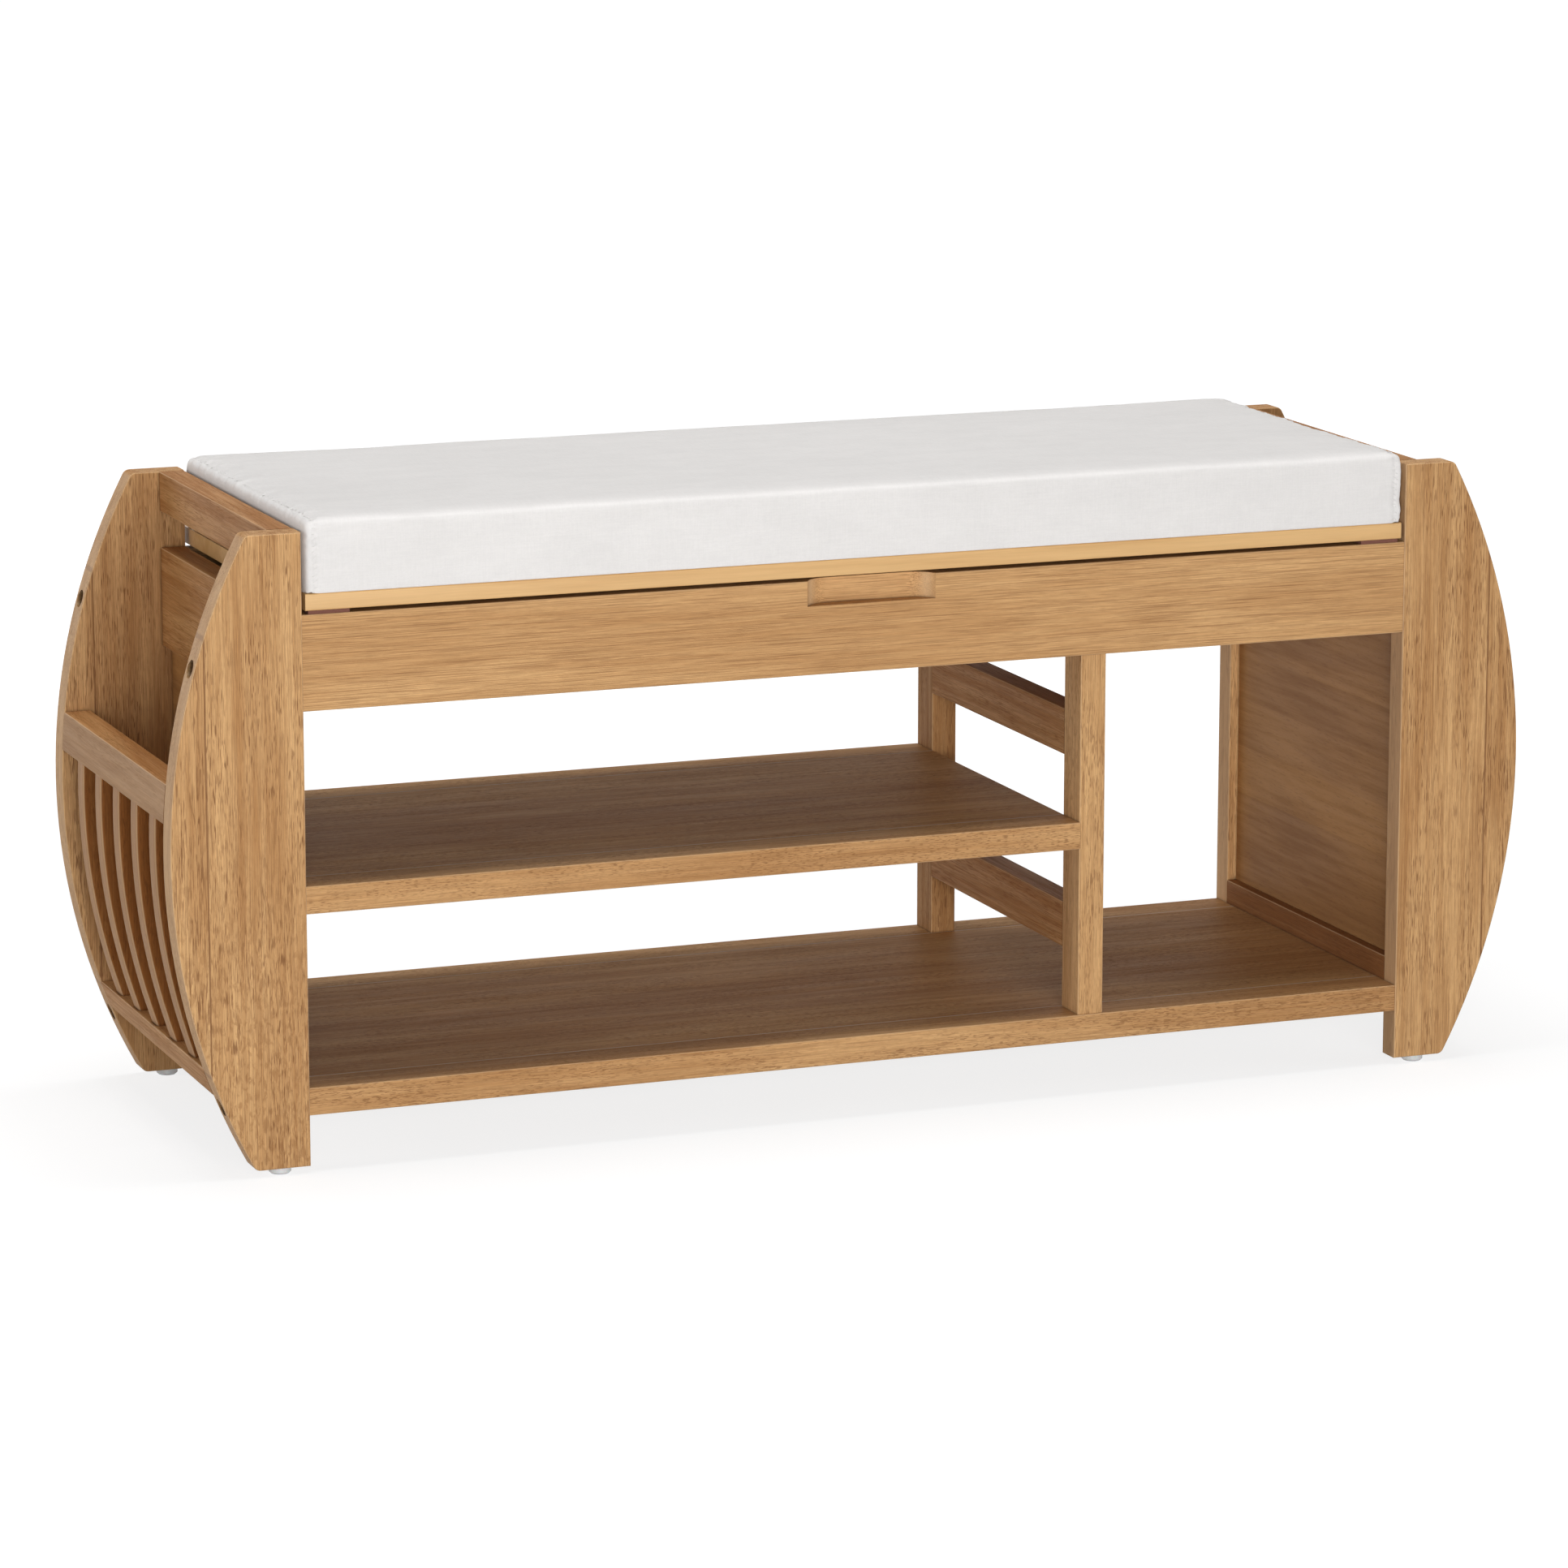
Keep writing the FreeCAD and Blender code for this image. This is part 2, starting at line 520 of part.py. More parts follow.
# Dowels from the end rails into the end panels.
for side_name, side in SIDES:
    rails = (
        ("top_rail", ("slim_stock / 2",) * 2,
         (f"{PANEL_TOP} - top_rail_height + peg_inset", f"{PANEL_TOP} - peg_inset")),
        ("side_apron", ("slim_stock / 2",) * 2,
         (f"{BOLT_Z['apron']} - peg_spread", f"{BOLT_Z['apron']} + peg_spread")),
        ("end_sill", ("stock / 3", "stock * 2 / 3"),
         (f"{BOLT_Z['shelf']} + peg_spread", f"{BOLT_Z['shelf']} + peg_spread + 2 * peg_radius")),
        ("rack_rail", (f"{RACK_RAIL_NEAR} + rack_rail_depth / 2",) * 2,
         ("rack_rail_bottom + peg_inset", f"{RACK_RAIL_TOP} - peg_inset")),
        ("rack_floor", ("stock + peg_inset", "panel_end_width + peg_inset"),
         ("rack_floor_top - stock / 2",) * 2),
    )
    for rail, outs, heights in rails:
        for row_name, row in (("front", -1), ("back", 1)):
            for number, (out, height) in enumerate(zip(outs, heights)):
                dowel(f"{rail}_{side_name}_peg_{row_name}_{number}", END_DOWELS, "y",
                      (outside(out, side), f"{row} * {END_INNER}", height), "peg_radius", "peg_length",
                      [f"{rail}_{side_name}", f"end_panel_{row_name}_{side_name}"])

# Long rails: bolts with barrel nuts, and thick dowels.
BOLTS = []
NUTS = []


def frame_bolt(name, side, row, rail, panel, level):
    """A bolt from the curved edge of an end panel into a barrel nut in a rail."""
    y = f"{row} * {BOLT_Y}"
    z = BOLT_Z[level]
    inwards = "-x" if side > 0 else "x"
    outwards = "x" if side > 0 else "-x"
    seat = (outside("bolt_seat", side), y, z)
    shank = rod(f"{name}_shank", inwards, seat, "bolt_radius", "bolt_seat + bolt_reach")
    head = rod(f"{name}_head", outwards, seat, "bolt_head_radius", "bolt_head")
    key = doc.addObject("Part::Prism", f"{name}_key")
    key.Polygon = 6
    key.Placement.Rotation = TURNS[outwards]
    bind(key, Circumradius="bolt_key / sqrt(3)", Height="bolt_head")
    place(key, outside("bolt_seat + bolt_head / 2", side), y, z)
    BOLTS.append(cut(name, fuse(f"{name}_blank", [shank, head]), [key]))
    tunnel = rod(f"{name}_tunnel", inwards, seat, "bolt_radius + fit", "bolt_seat + bolt_reach + hole_end")
    bore = rod(f"{name}_bore", outwards, seat, "bore_radius", BULGE)
    cut_from([panel, rail], tunnel)
    cut_from([panel], bore)
    nut_x = f"{side} * (inner_length / 2 - nut_x)"
    if level == "apron":
        turned = "y"
        low = f"{y} - nut_length / 2"
        start = (nut_x, low, z)
        mouth = (nut_x, low if row < 0 else APRON_INNER, z)
        slot = box(f"{name}_nut_slot", (f"{nut_x} - nut_radius", f"{nut_x} + nut_radius"),
                   (f"{y} - {row} * nut_length / 2 - nut_slot", f"{y} - {row} * nut_length / 2 + nut_slot"),
                   (f"{z} - nut_slot / 2", f"{z} + nut_slot / 2"))
        hole_length = f"{BOLT_Y} + nut_length / 2 - {APRON_INNER}"
    else:
        turned = "z"
        start = (nut_x, y, f"{z} - nut_length / 2")
        mouth = (nut_x, y, SILL_BOTTOM)
        slot = box(f"{name}_nut_slot", (f"{nut_x} - nut_radius", f"{nut_x} + nut_radius"),
                   (f"{y} - nut_slot / 2", f"{y} + nut_slot / 2"),
                   (f"{z} - nut_length / 2 - nut_slot", f"{z} - nut_length / 2 + nut_slot"))
        hole_length = "shelf_board / 2 + nut_length / 2"
    barrel = rod(f"{name}_barrel", turned, start, "nut_radius", "nut_length")
    thread = rod(f"{name}_thread", inwards, seat, "bolt_radius + fit", "bolt_seat + bolt_reach + hole_end")
    NUTS.append(cut(f"{name}_nut", barrel, [thread, slot]))
    cut_from([rail], rod(f"{name}_nut_hole", turned, mouth, "nut_radius + fit", hole_length))


for side_name, side in SIDES:
    for row_name, rail_name, row in (("front", "front", -1), ("back", "rear", 1)):
        panel = f"end_panel_{row_name}_{side_name}"
        apron = f"{row_name}_apron"
        shelf_rail = f"bottom_shelf_{rail_name}_rail"
        frame_bolt(f"bolt_{row_name}_{side_name}_apron", side, row, apron, panel, "apron")
        frame_bolt(f"bolt_{row_name}_{side_name}_shelf", side, row, shelf_rail, panel, "shelf")
        for number, lift in enumerate((-1, 1)):
            height = f"{BOLT_Z['apron']} + {lift} * 2 * peg_spread"
            dowel(f"{apron}_dowel_{side_name}_{number}", THICK_DOWELS, "x",
                  (outside("0", side), f"{row} * {BOLT_Y}", height), "dowel_radius", "dowel_length",
                  [apron, panel])
        # Between the shelf panel's seam and the end panel.
        ledge_y = f"{row} * ({APRON_FACE} - shelf_rail_width + {END_INNER}) / 2"
        low_z = "bottom_shelf_top - shelf_board / 2"
        dowel(f"{shelf_rail}_dowel_{side_name}", THICK_DOWELS, "x", (outside("0", side), ledge_y, low_z),
              "dowel_radius", "stock + stock / 5", [shelf_rail, f"end_sill_{side_name}"])

# The middle shelf: dowels into the left end panels and the divider posts.
MIDDLE_Z = "middle_shelf_top - shelf_board / 2"
for row_name, rail_name, row in (("front", "front", -1), ("back", "rear", 1)):
    rail = f"middle_shelf_{rail_name}_rail"
    post = f"divider_post_{rail_name}"
    dowel(f"{rail}_dowel_left", THICK_DOWELS, "x", (outside("0", -1), f"{row} * {BOLT_Y}", MIDDLE_Z),
          "peg_radius", "peg_length", [rail, f"end_panel_{row_name}_left"])
    dowel(f"{rail}_dowel_post", THICK_DOWELS, "x",
          ("post_x", f"{row} * ({POST_INNER} + peg_inset)", MIDDLE_Z),
          "dowel_radius", "stock + stock / 5", [rail, post])
    dowel(f"{post}_dowel_top", DIVIDER_DOWELS, "z", (POST_MIDDLE, f"{row} * {BOLT_Y}", APRON_BOTTOM),
          "peg_radius", "peg_length", [post, f"{row_name}_apron"])

# Divider screws: up into the posts, and from the posts into the middle shelf.
SCREWS = []


def wood_screw(name, bundle, axis, head_at, radius, head_radius, length, pieces):
    """A countersunk wood screw with a pointed end, and its hole in each piece."""
    point = f"2 * {radius}"
    sink = f"({head_radius} - {radius})"

    def along_axis(distance):
        at = list(head_at)
        index = {"x": 0, "z": 2}[axis[-1]]
        sign = "-" if axis[0] == "-" else "+"
        at[index] = f"{at[index]} {sign} {distance}"
        return at

    head = cone(f"{name}_head", axis, head_at, head_radius, radius, sink)
    shank = rod(f"{name}_shank", axis, head_at, radius, f"{length} - {point}")
    tip = cone(f"{name}_tip", axis, along_axis(f"({length} - {point})"), radius, f"{radius} / 5", point)
    bundle.append(fuse(name, [head, shank, tip]))
    mouth = cone(f"{name}_sink", axis, head_at, f"{head_radius} + fit", f"{radius} + fit", sink)
    drilled = rod(f"{name}_drill", axis, head_at, f"{radius} + fit", f"{length} + hole_end")
    cut_from(pieces, mouth)
    cut_from(pieces, drilled)


for rail_name, row in (("front", -1), ("rear", 1)):
    post = f"divider_post_{rail_name}"
    middle_y = f"{row} * ({POST_FRONT} + {POST_INNER}) / 2"
    wood_screw(f"post_screw_{rail_name}", SCREWS, "z", (POST_MIDDLE, middle_y, SILL_BOTTOM),
               "screw_radius", "screw_head", "screw_length", [post, f"bottom_shelf_{rail_name}_rail"])
    wood_screw(f"shelf_screw_{rail_name}", SCREWS, "-x",
               ("post_x + post_width", f"{row} * ({POST_FRONT} - peg_inset)", MIDDLE_Z),
               "screw_radius", "screw_head", "screw_length", [post, f"middle_shelf_{rail_name}_rail"])

# Finger notch: a routed pocket with rounded ends.
notch_low = f"({APRON_TOP} - notch_height)"
cutter_y = f"(-{APRON_FACE} + notch_depth - notch_end_radius)"
end_x = f"(notch_length / 2 - sqrt(notch_end_radius ^ 2 - ({cutter_y} + {APRON_FACE}) ^ 2))"
for name, sign in (("notch_left_end", -1), ("notch_right_end", 1)):
    cut_from(["front_apron"], rod(name, "z", (f"{sign} * {end_x}", cutter_y, notch_low),
                                  "notch_end_radius", "notch_height + ease"))
cut_from(["front_apron"], box("notch_middle", (f"-{end_x}", end_x),
                              (f"-{APRON_FACE} - ease", f"-{APRON_FACE} + notch_depth"),
                              (notch_low, f"{APRON_TOP} + ease")))

# Rebate along the back apron, where the lid's rear edge swings down.
cut_from(["back_apron"], box("rear_rebate", ("-inner_length / 2 - ease", "inner_length / 2 + ease"),
                             (AXIS_Y, f"{APRON_FACE} + ease"),
                             (f"{APRON_TOP} - rebate_depth", f"{APRON_TOP} + ease")))

# Lid, hinges and their screws.
lid_x = "(inner_length / 2 - lid_end_gap)"
pieces["lid_board"] = board("lid_board", (f"-{lid_x}", lid_x), (f"-{APRON_FACE}", APRON_FACE),
                            (LID_UNDER, LID_TOP), "x")
APRON_SCREWS = []
LID_SCREWS = []
CLEAR = "(knuckle_radius + knuckle_play)"


def hinge(name, x):
    low = f"({x} - hinge_length / 2)"
    high = f"({x} + hinge_length / 2)"
    step = f"(hinge_length / {KNUCKLES})"
    front = f"{AXIS_Y} - leaf_front"
    axis_at = (AXIS_Y, AXIS_Z)
    leaves = {
        "fixed": (0, (APRON_TOP, f"{APRON_TOP} + leaf")),
        "lid": (1, (f"{LID_UNDER} - leaf", LID_UNDER)),
    }
    for leaf, (first, plate_z) in leaves.items():
        plate = box(f"{name}_{leaf}_plate", (low, high), (front, AXIS_Y), plate_z)
        own = []
        clear = []
        for number in range(KNUCKLES):
            left = f"{low} + {number} * {step}"
            if number % 2 == first:
                start = (f"{left} + knuckle_gap / 2", *axis_at)
                own.append(rod(f"{name}_{leaf}_knuckle_{number}", "x", start,
                               "knuckle_radius", f"{step} - knuckle_gap"))
                continue
            span = (f"{left} - knuckle_gap / 2", f"{left} + {step} + knuckle_gap / 2")
            clear.append(box(f"{name}_{leaf}_gap_{number}", span,
                             (f"{AXIS_Y} - {CLEAR}", f"{AXIS_Y} + {CLEAR}"),
                             (f"{AXIS_Z} - {CLEAR}", f"{AXIS_Z} + {CLEAR}")))
        play = "0" if leaf == "fixed" else "pin_play"
        bore = rod(f"{name}_{leaf}_bore", "x", (low, *axis_at), f"pin_radius + {play}", "hinge_length")
        for number, shift in enumerate((-1, 1)):
            screw = f"{name}_{leaf}_screw_{number}"
            at_x = f"{x} + {shift} * hinge_screw_x"
            at_y = f"{AXIS_Y} - hinge_screw_y"
            piece = f"{name}_{leaf}_leaf"
            if leaf == "fixed":
                wood_screw(screw, APRON_SCREWS, "-z", (at_x, at_y, f"{APRON_TOP} + leaf"),
                           "hinge_screw_radius", "hinge_screw_head", "hinge_screw_length",
                           [piece, "back_apron"])
            else:
                wood_screw(screw, LID_SCREWS, "z", (at_x, at_y, f"{LID_UNDER} - leaf"),
                           "hinge_screw_radius", "hinge_screw_head", "hinge_screw_length",
                           [piece, "lid_board"])
        pieces[f"{name}_{leaf}_leaf"] = cut(
            f"{name}_{leaf}_shape", fuse(f"{name}_{leaf}_blank", [plate, *own]), [*clear, bore])
    shaft = rod(f"{name}_shaft", "x", (low, *axis_at), "pin_radius", "hinge_length")
    heads = [rod(f"{name}_head_a", "-x", (low, *axis_at), "pin_head_radius", "pin_head"),
             rod(f"{name}_head_b", "x", (high, *axis_at), "pin_head_radius", "pin_head")]
    pieces[f"{name}_pin"] = fuse(f"{name}_pin_shape", [shaft, *heads])
    room = (f"{low} - pin_head - 2 * knuckle_play", f"{high} + pin_head + 2 * knuckle_play")
    cut_from(["back_apron"], box(f"{name}_apron_room", room, (f"{AXIS_Y} - {CLEAR}", AXIS_Y),
                                 (f"{AXIS_Z} - {CLEAR}", f"{APRON_TOP} + ease")))
    cut_from(["lid_board"], box(f"{name}_lid_room", room, (f"{AXIS_Y} - {CLEAR}", f"{AXIS_Y} + {CLEAR}"),
                                (f"{LID_UNDER} - ease", f"{AXIS_Z} + {CLEAR}")))


hinge("hinge_left", "-hinge_x")
hinge("hinge_right", "hinge_x")

# Bumper pads, glides, fastening tapes and the cushion.
pads = []
for side_name, side in SIDES:
    near, far = "(inner_length / 2 - pad_end - pad_length)", "(inner_length / 2 - pad_end)"
    span = (near, far) if side > 0 else (f"-{far}", f"-{near}")
    pads.append(box(f"pad_{side_name}", span, (f"-{APRON_FACE} + ease", f"-{APRON_FACE} + ease + pad_width"),
                    (APRON_TOP, f"{LID_UNDER} - pad_slack")))
glides = []
for side_name, side in SIDES:
    for row_name, row in (("front", -1), ("back", 1)):
        name = f"glide_{row_name}_{side_name}"
        x = outside("panel_end_width / 2", side)
        y = f"{row} * {BOLT_Y}"
        disc = rod(f"{name}_disc", "z", (x, y, "glide_taper"), "glide_radius", "glide_height - glide_taper")
        foot = cone(f"{name}_foot", "z", (x, y, "0"), "glide_radius - glide_taper", "glide_radius",
                    "glide_taper")
        nail = rod(f"{name}_nail", "z", (x, y, "glide_height / 2"), "glide_nail_radius",
                   "glide_height / 2 + glide_nail_length")
        glides.append(fuse(name, [disc, foot, nail]))
        hole = rod(f"{name}_hole", "z", (x, y, "glide_height - ease"), "glide_nail_radius + fit",
                   "glide_nail_length + ease + hole_end")
        cut_from([f"end_panel_{row_name}_{side_name}"], hole)
TAPE_Y = f"({APRON_FACE} - tape_inset)"
tapes = [box(f"tape_{row_name}", ("-tape_length / 2", "tape_length / 2"),
             (f"{row} * {TAPE_Y} - tape_width / 2", f"{row} * {TAPE_Y} + tape_width / 2"),
             (LID_TOP, f"{LID_TOP} + tape_board"))
         for row_name, row in (("front", -1), ("rear", 1))]
cushion_x = "(inner_length / 2 - cushion_end_gap)"
cushion_z = (f"{LID_TOP} + tape_board", f"{LID_TOP} + tape_board + cushion_height")
cushion_y = (f"-{APRON_FACE}", f"{AXIS_Y} - cushion_back_gap")
block = box("cushion_block", (f"-{cushion_x}", cushion_x), cushion_y, cushion_z)
pieces["seat_cushion"] = ease_edges("cushion_soft", block, lambda e: True, size("cushion_round"))

GROUPS = (
    ("cushion_tapes", tapes),
    ("bumper_pads", pads),
    ("glides", glides),
    ("frame_bolts", BOLTS),
    ("barrel_nuts", NUTS),
    ("rail_dowels", THICK_DOWELS),
    ("end_rail_dowels", END_DOWELS),
    ("divider_dowels", DIVIDER_DOWELS),
    ("slat_dowels", SLAT_DOWELS),
    ("divider_screws", SCREWS),
    ("hinge_screws_apron", APRON_SCREWS),
    ("hinge_screws_lid", LID_SCREWS),
)
for label, base in pieces.items():
    tools = CUTS.get(label)
    finish(label, cut(f"{label}_joinery", base, tools) if tools else base)
for label, solids in GROUPS:
    finish(label, group(f"{label}_group", solids))

doc.recompute()
for thing in doc.Objects:
    if "Invalid" in thing.State or "Error" in thing.State:
        raise RuntimeError(f"{thing.Name}: {thing.State}")
os.makedirs("parts", exist_ok=True)
for label, thing in PARTS:
    shape = thing.Shape
    if shape.isNull() or not shape.isValid() or not shape.Solids:
        raise RuntimeError(f"{label}: the shape is empty or not valid")
    shape.exportStep(f"parts/{label}.step")
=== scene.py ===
import math

import bmesh
import bpy
from bpy.props import FloatProperty, FloatVectorProperty, PointerProperty
from mathutils import Matrix, Vector, noise
from mathutils.bvhtree import BVHTree


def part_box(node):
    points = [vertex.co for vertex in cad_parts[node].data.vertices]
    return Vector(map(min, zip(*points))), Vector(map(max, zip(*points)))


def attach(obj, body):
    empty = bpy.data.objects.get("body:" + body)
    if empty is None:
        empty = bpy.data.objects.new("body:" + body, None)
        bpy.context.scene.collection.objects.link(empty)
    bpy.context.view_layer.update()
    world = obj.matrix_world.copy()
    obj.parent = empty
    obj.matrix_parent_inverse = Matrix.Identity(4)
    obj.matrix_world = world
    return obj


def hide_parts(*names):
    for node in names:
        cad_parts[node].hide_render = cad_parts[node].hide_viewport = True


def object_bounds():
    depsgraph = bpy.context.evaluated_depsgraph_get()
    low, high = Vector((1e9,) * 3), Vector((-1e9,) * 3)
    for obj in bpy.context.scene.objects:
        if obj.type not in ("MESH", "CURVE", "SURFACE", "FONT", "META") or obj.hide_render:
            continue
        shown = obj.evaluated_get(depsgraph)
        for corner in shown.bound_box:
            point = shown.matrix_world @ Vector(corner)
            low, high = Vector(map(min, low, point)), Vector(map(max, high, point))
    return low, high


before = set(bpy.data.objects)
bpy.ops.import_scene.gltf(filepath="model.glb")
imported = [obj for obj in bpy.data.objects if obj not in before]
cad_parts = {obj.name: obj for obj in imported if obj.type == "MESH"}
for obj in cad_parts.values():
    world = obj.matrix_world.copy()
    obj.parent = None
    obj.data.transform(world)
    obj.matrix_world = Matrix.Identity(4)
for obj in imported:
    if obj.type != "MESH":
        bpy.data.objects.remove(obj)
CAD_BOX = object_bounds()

bl_info = {
    "name": "Storage Bench",
    "version": (1, 0, 0),
    "blender": (4, 5, 0),
    "location": "View3D > Sidebar > Bench",
    "description": "Finishes, cushion and studio for the storage bench",
    "category": "Object",
}


# ---------------------------------------------------------------- settings

def colour(name, description, value):
    return FloatVectorProperty(
        name=name, description=description, subtype="COLOR", size=3, min=0.0, max=1.0, default=value)


def distance(name, description, value):
    return FloatProperty(
        name=name, description=description, default=value, unit="LENGTH", subtype="DISTANCE", precision=4)


def share(name, description, value, top=1.0):
    return FloatProperty(name=name, description=description, default=value, min=0.0, max=top)


class BenchTimberSettings(bpy.types.PropertyGroup):
    light: colour("Light stain", "Stained timber between its streaks", (0.665, 0.396, 0.180))
    dark: colour("Dark stain", "Stained timber in its darker streaks", (0.385, 0.183, 0.066))
    pore: colour("Pores", "Short dashes of stain held in the pores", (0.190, 0.082, 0.034))
    blotch: colour("Blotches", "Mottled brown patches", (0.345, 0.170, 0.066))
    # Partly thinner stain, partly painted sheen: the lighter colour on the faces turned out along X.
    edge: colour("Curved edges", "Thinner stain on the curved edges", (0.560, 0.365, 0.215))
    # Partly wear, partly painted highlight: the lighter colour laid on every rounded arris.
    arris_wear_and_highlight: colour("Arrises", "Stain rubbed thin on the arrises", (0.700, 0.500, 0.300))
    # Reach of the painted shade inside a panel's own holes.
    hole_shade_reach: distance("Hole reach", "How deep a panel's own holes darken", 0.015)
    # Painted shade: the curved-edge colour darkened for the shade on the rack rails' outer faces.
    rail_edge_shaded: colour("Rack rail faces", "Stain on the outer faces of the rack rails", (0.390, 0.256, 0.150))
    seam: colour("Shelf seams", "Filler in the seams of the shelves", (0.640, 0.520, 0.400))
    panel_tone: share("Panel tone", "Darkness of the end panels", 0.36)
    # Painted shade: the darker tone of the right end panels stands in for the weaker light at the right.
    far_panel_shade_tone: share("Right panel tone", "Darkness of the end panels at the right", 0.52)
    stave: distance("Stave width", "Width of a stave in a glued-up board", 0.085)
    trim: distance("Stave trim", "Cut off the first stave at an end panel's inner edge", 0.014)


class BenchLidSettings(bpy.types.PropertyGroup):
    face: colour("Lid", "Lid board", (0.700, 0.435, 0.185))
    shade: colour("Lid streaks", "Streaks in the lid board", (0.610, 0.355, 0.138))


class BenchPlySettings(bpy.types.PropertyGroup):
    light: colour("Plywood", "Stained plywood between its streaks", (0.450, 0.228, 0.078))
    dark: colour("Plywood streaks", "Darker streaks of the plywood", (0.290, 0.137, 0.049))
    strip: distance("Strip", "Width of a strip of face veneer", 0.038)


class BenchCushionSettings(bpy.types.PropertyGroup):
    cover: colour("Cover", "Short-pile cover", (0.800, 0.778, 0.762))
    thread: colour("Thread", "Sewing thread", (0.830, 0.810, 0.795))
    voxel: distance("Mesh size", "Mesh size of the simulated cover", 0.006)
    start_inset: distance("Start inset", "How far inside its space the cover starts", 0.0015)
    rounding: distance("Rounding", "Rounding of the foam's edges", 0.0055)
    swell: distance("Most swell", "Furthest that a point of the cover may move", 0.0032)
    pressure: share("Pressure", "Air pressure that fills the cover", 4.0, 20.0)
    flatten: distance("Flatten", "How much of the underside its weight presses flat", 0.0070)
    overhang: distance("Overhang", "How far the cover bulges over the lid's front edge", 0.0025)
    end_room: distance("End room", "Gap kept between the cover and the top rails", 0.0008)
    droop: distance("Droop", "How far the long edges drop to the lid beside the tapes", 0.0009)
    droop_start: distance("Droop start", "Where the drop starts, from the long edges", 0.035)
    droop_run: distance("Droop run", "Width in which the drop builds up", 0.015)
    fold_reach: distance("Fold reach", "How far from a face its fold is tightened", 0.014)
    fold_keep: share("Fold softness", "Part of the folds' rounding that is kept", 0.40, 1.0)
    end_slope: distance("End slope", "How far the top falls between the end seams and the ends", 0.0016)
    seam_inset: distance("Seam inset", "End seams inside the cushion's ends", 0.0080)
    seam_depth: distance("Seam depth", "How far the end seams pull the cover in", 0.0015)
    seam_width: distance("Seam width", "Half width of the groove along an end seam", 0.0022)
    seam_band: distance("Seam band", "How far inside an end seam the wrinkles reach", 0.05)
    seam_skin: distance("Seam skin", "How deep under the long edges the cover is wrinkled", 0.016)
    pucker: distance("Pucker", "Height of the wrinkles beside the end seams", 0.0015)
    pucker_fade: distance("Pucker fade", "How fast the wrinkles die out from the end seams", 0.012)
    stitch: distance("Stitch", "Length of one stitch", 0.0042)
    thread_radius: distance("Thread radius", "Radius of the sewing thread", 0.00028)


class BenchStageSettings(bpy.types.PropertyGroup):
    floor: colour("Floor", "Pale floor", (0.60, 0.60, 0.60))
    floor_size: distance("Floor size", "Side of the floor", 30.0)
    daylight: share("Ambient", "Strength of the soft light all round", 0.06, 5.0)
    key: share("Key lamp", "Power of the large lamp in front", 92.0, 5000.0)
    left: share("Left lamp", "Power of the lamp at the left", 24.0, 5000.0)
    right: share("Right lamp", "Power of the lamp at the right", 18.0, 5000.0)
    back: share("Back lamp", "Power of the lamp behind", 24.0, 5000.0)
    top: share("Top lamp", "Power of the lamp overhead", 57.0, 5000.0)
    lens: FloatProperty(name="Lens", description="Focal length", default=140.04, unit="CAMERA")
    place: FloatVectorProperty(
        name="Camera place", description="Where the camera stands", subtype="TRANSLATION", size=3,
        unit="LENGTH", default=(-1.6082, -4.1534, 1.1499))
    turn: FloatProperty(
        name="Camera turn", description="Camera's turn to the right", subtype="ANGLE",
        default=math.radians(21.088))
    tilt: FloatProperty(
        name="Camera tilt", description="Camera's tilt down", subtype="ANGLE", default=math.radians(11.828))


class BenchSettings(bpy.types.PropertyGroup):
    timber: PointerProperty(type=BenchTimberSettings)
    lid: PointerProperty(type=BenchLidSettings)
    ply: PointerProperty(type=BenchPlySettings)
    cushion: PointerProperty(type=BenchCushionSettings)
    stage: PointerProperty(type=BenchStageSettings)


# ---------------------------------------------------------------- node helpers

def add_node(tree, kind, inputs=None, **settings):
    """Add a node, set its options, and set or link its inputs."""
    made = tree.nodes.new(kind)
    for key, value in settings.items():
        setattr(made, key, value)
    for key, value in (inputs or {}).items():
        socket = made.inputs[key]
        if isinstance(value, bpy.types.NodeSocket):
            tree.links.new(value, socket)
        else:
            socket.default_value = value
    return made


def maths(tree, operation, a, b=0.0):
    return add_node(tree, "ShaderNodeMath", {0: a, 1: b}, operation=operation).outputs[0]


def remap(tree, value, low, high, to_low=0.0, to_high=1.0, smooth=True):
    made = add_node(
        tree, "ShaderNodeMapRange",
        {"Value": value, "From Min": low, "From Max": high, "To Min": to_low, "To Max": to_high})
    made.interpolation_type = "SMOOTHSTEP" if smooth else "LINEAR"
    return made.outputs["Result"]


def stretched_noise(tree, vector, scale, detail=2.0, roughness=0.5, distortion=0.0):
    """Noise with its own scale on each axis."""
    scaled = add_node(tree, "ShaderNodeVectorMath", {0: vector, 1: scale}, operation="MULTIPLY")
    return add_node(
        tree, "ShaderNodeTexNoise",
        {"Vector": scaled.outputs[0], "Scale": 1.0, "Detail": detail, "Roughness": roughness,
         "Distortion": distortion}).outputs["Fac"]


def mix_colour(tree, factor, a, b):
    made = add_node(tree, "ShaderNodeMix", data_type="RGBA")
    for index, value in ((0, factor), (6, a), (7, b)):
        if isinstance(value, bpy.types.NodeSocket):
            tree.links.new(value, made.inputs[index])
        elif index == 0:
            made.inputs[index].default_value = value
        else:
            made.inputs[index].default_value = (*value, 1.0)[:4]
    return made.outputs[2]


def new_material(name, **constants):
    """A material with a Principled shader whose constant sockets are set directly."""
    material = bpy.data.materials.new(name)
    material.use_nodes = True
    tree = material.node_tree
    shader = tree.nodes["Principled BSDF"]
    for key, value in constants.items():
        shader.inputs[key.replace("_", " ")].default_value = value
    return material, tree, shader


def scale_colour(tree, base, factor):
    return add_node(tree, "ShaderNodeVectorMath", {0: base, 3: factor}, operation="SCALE").outputs[0]


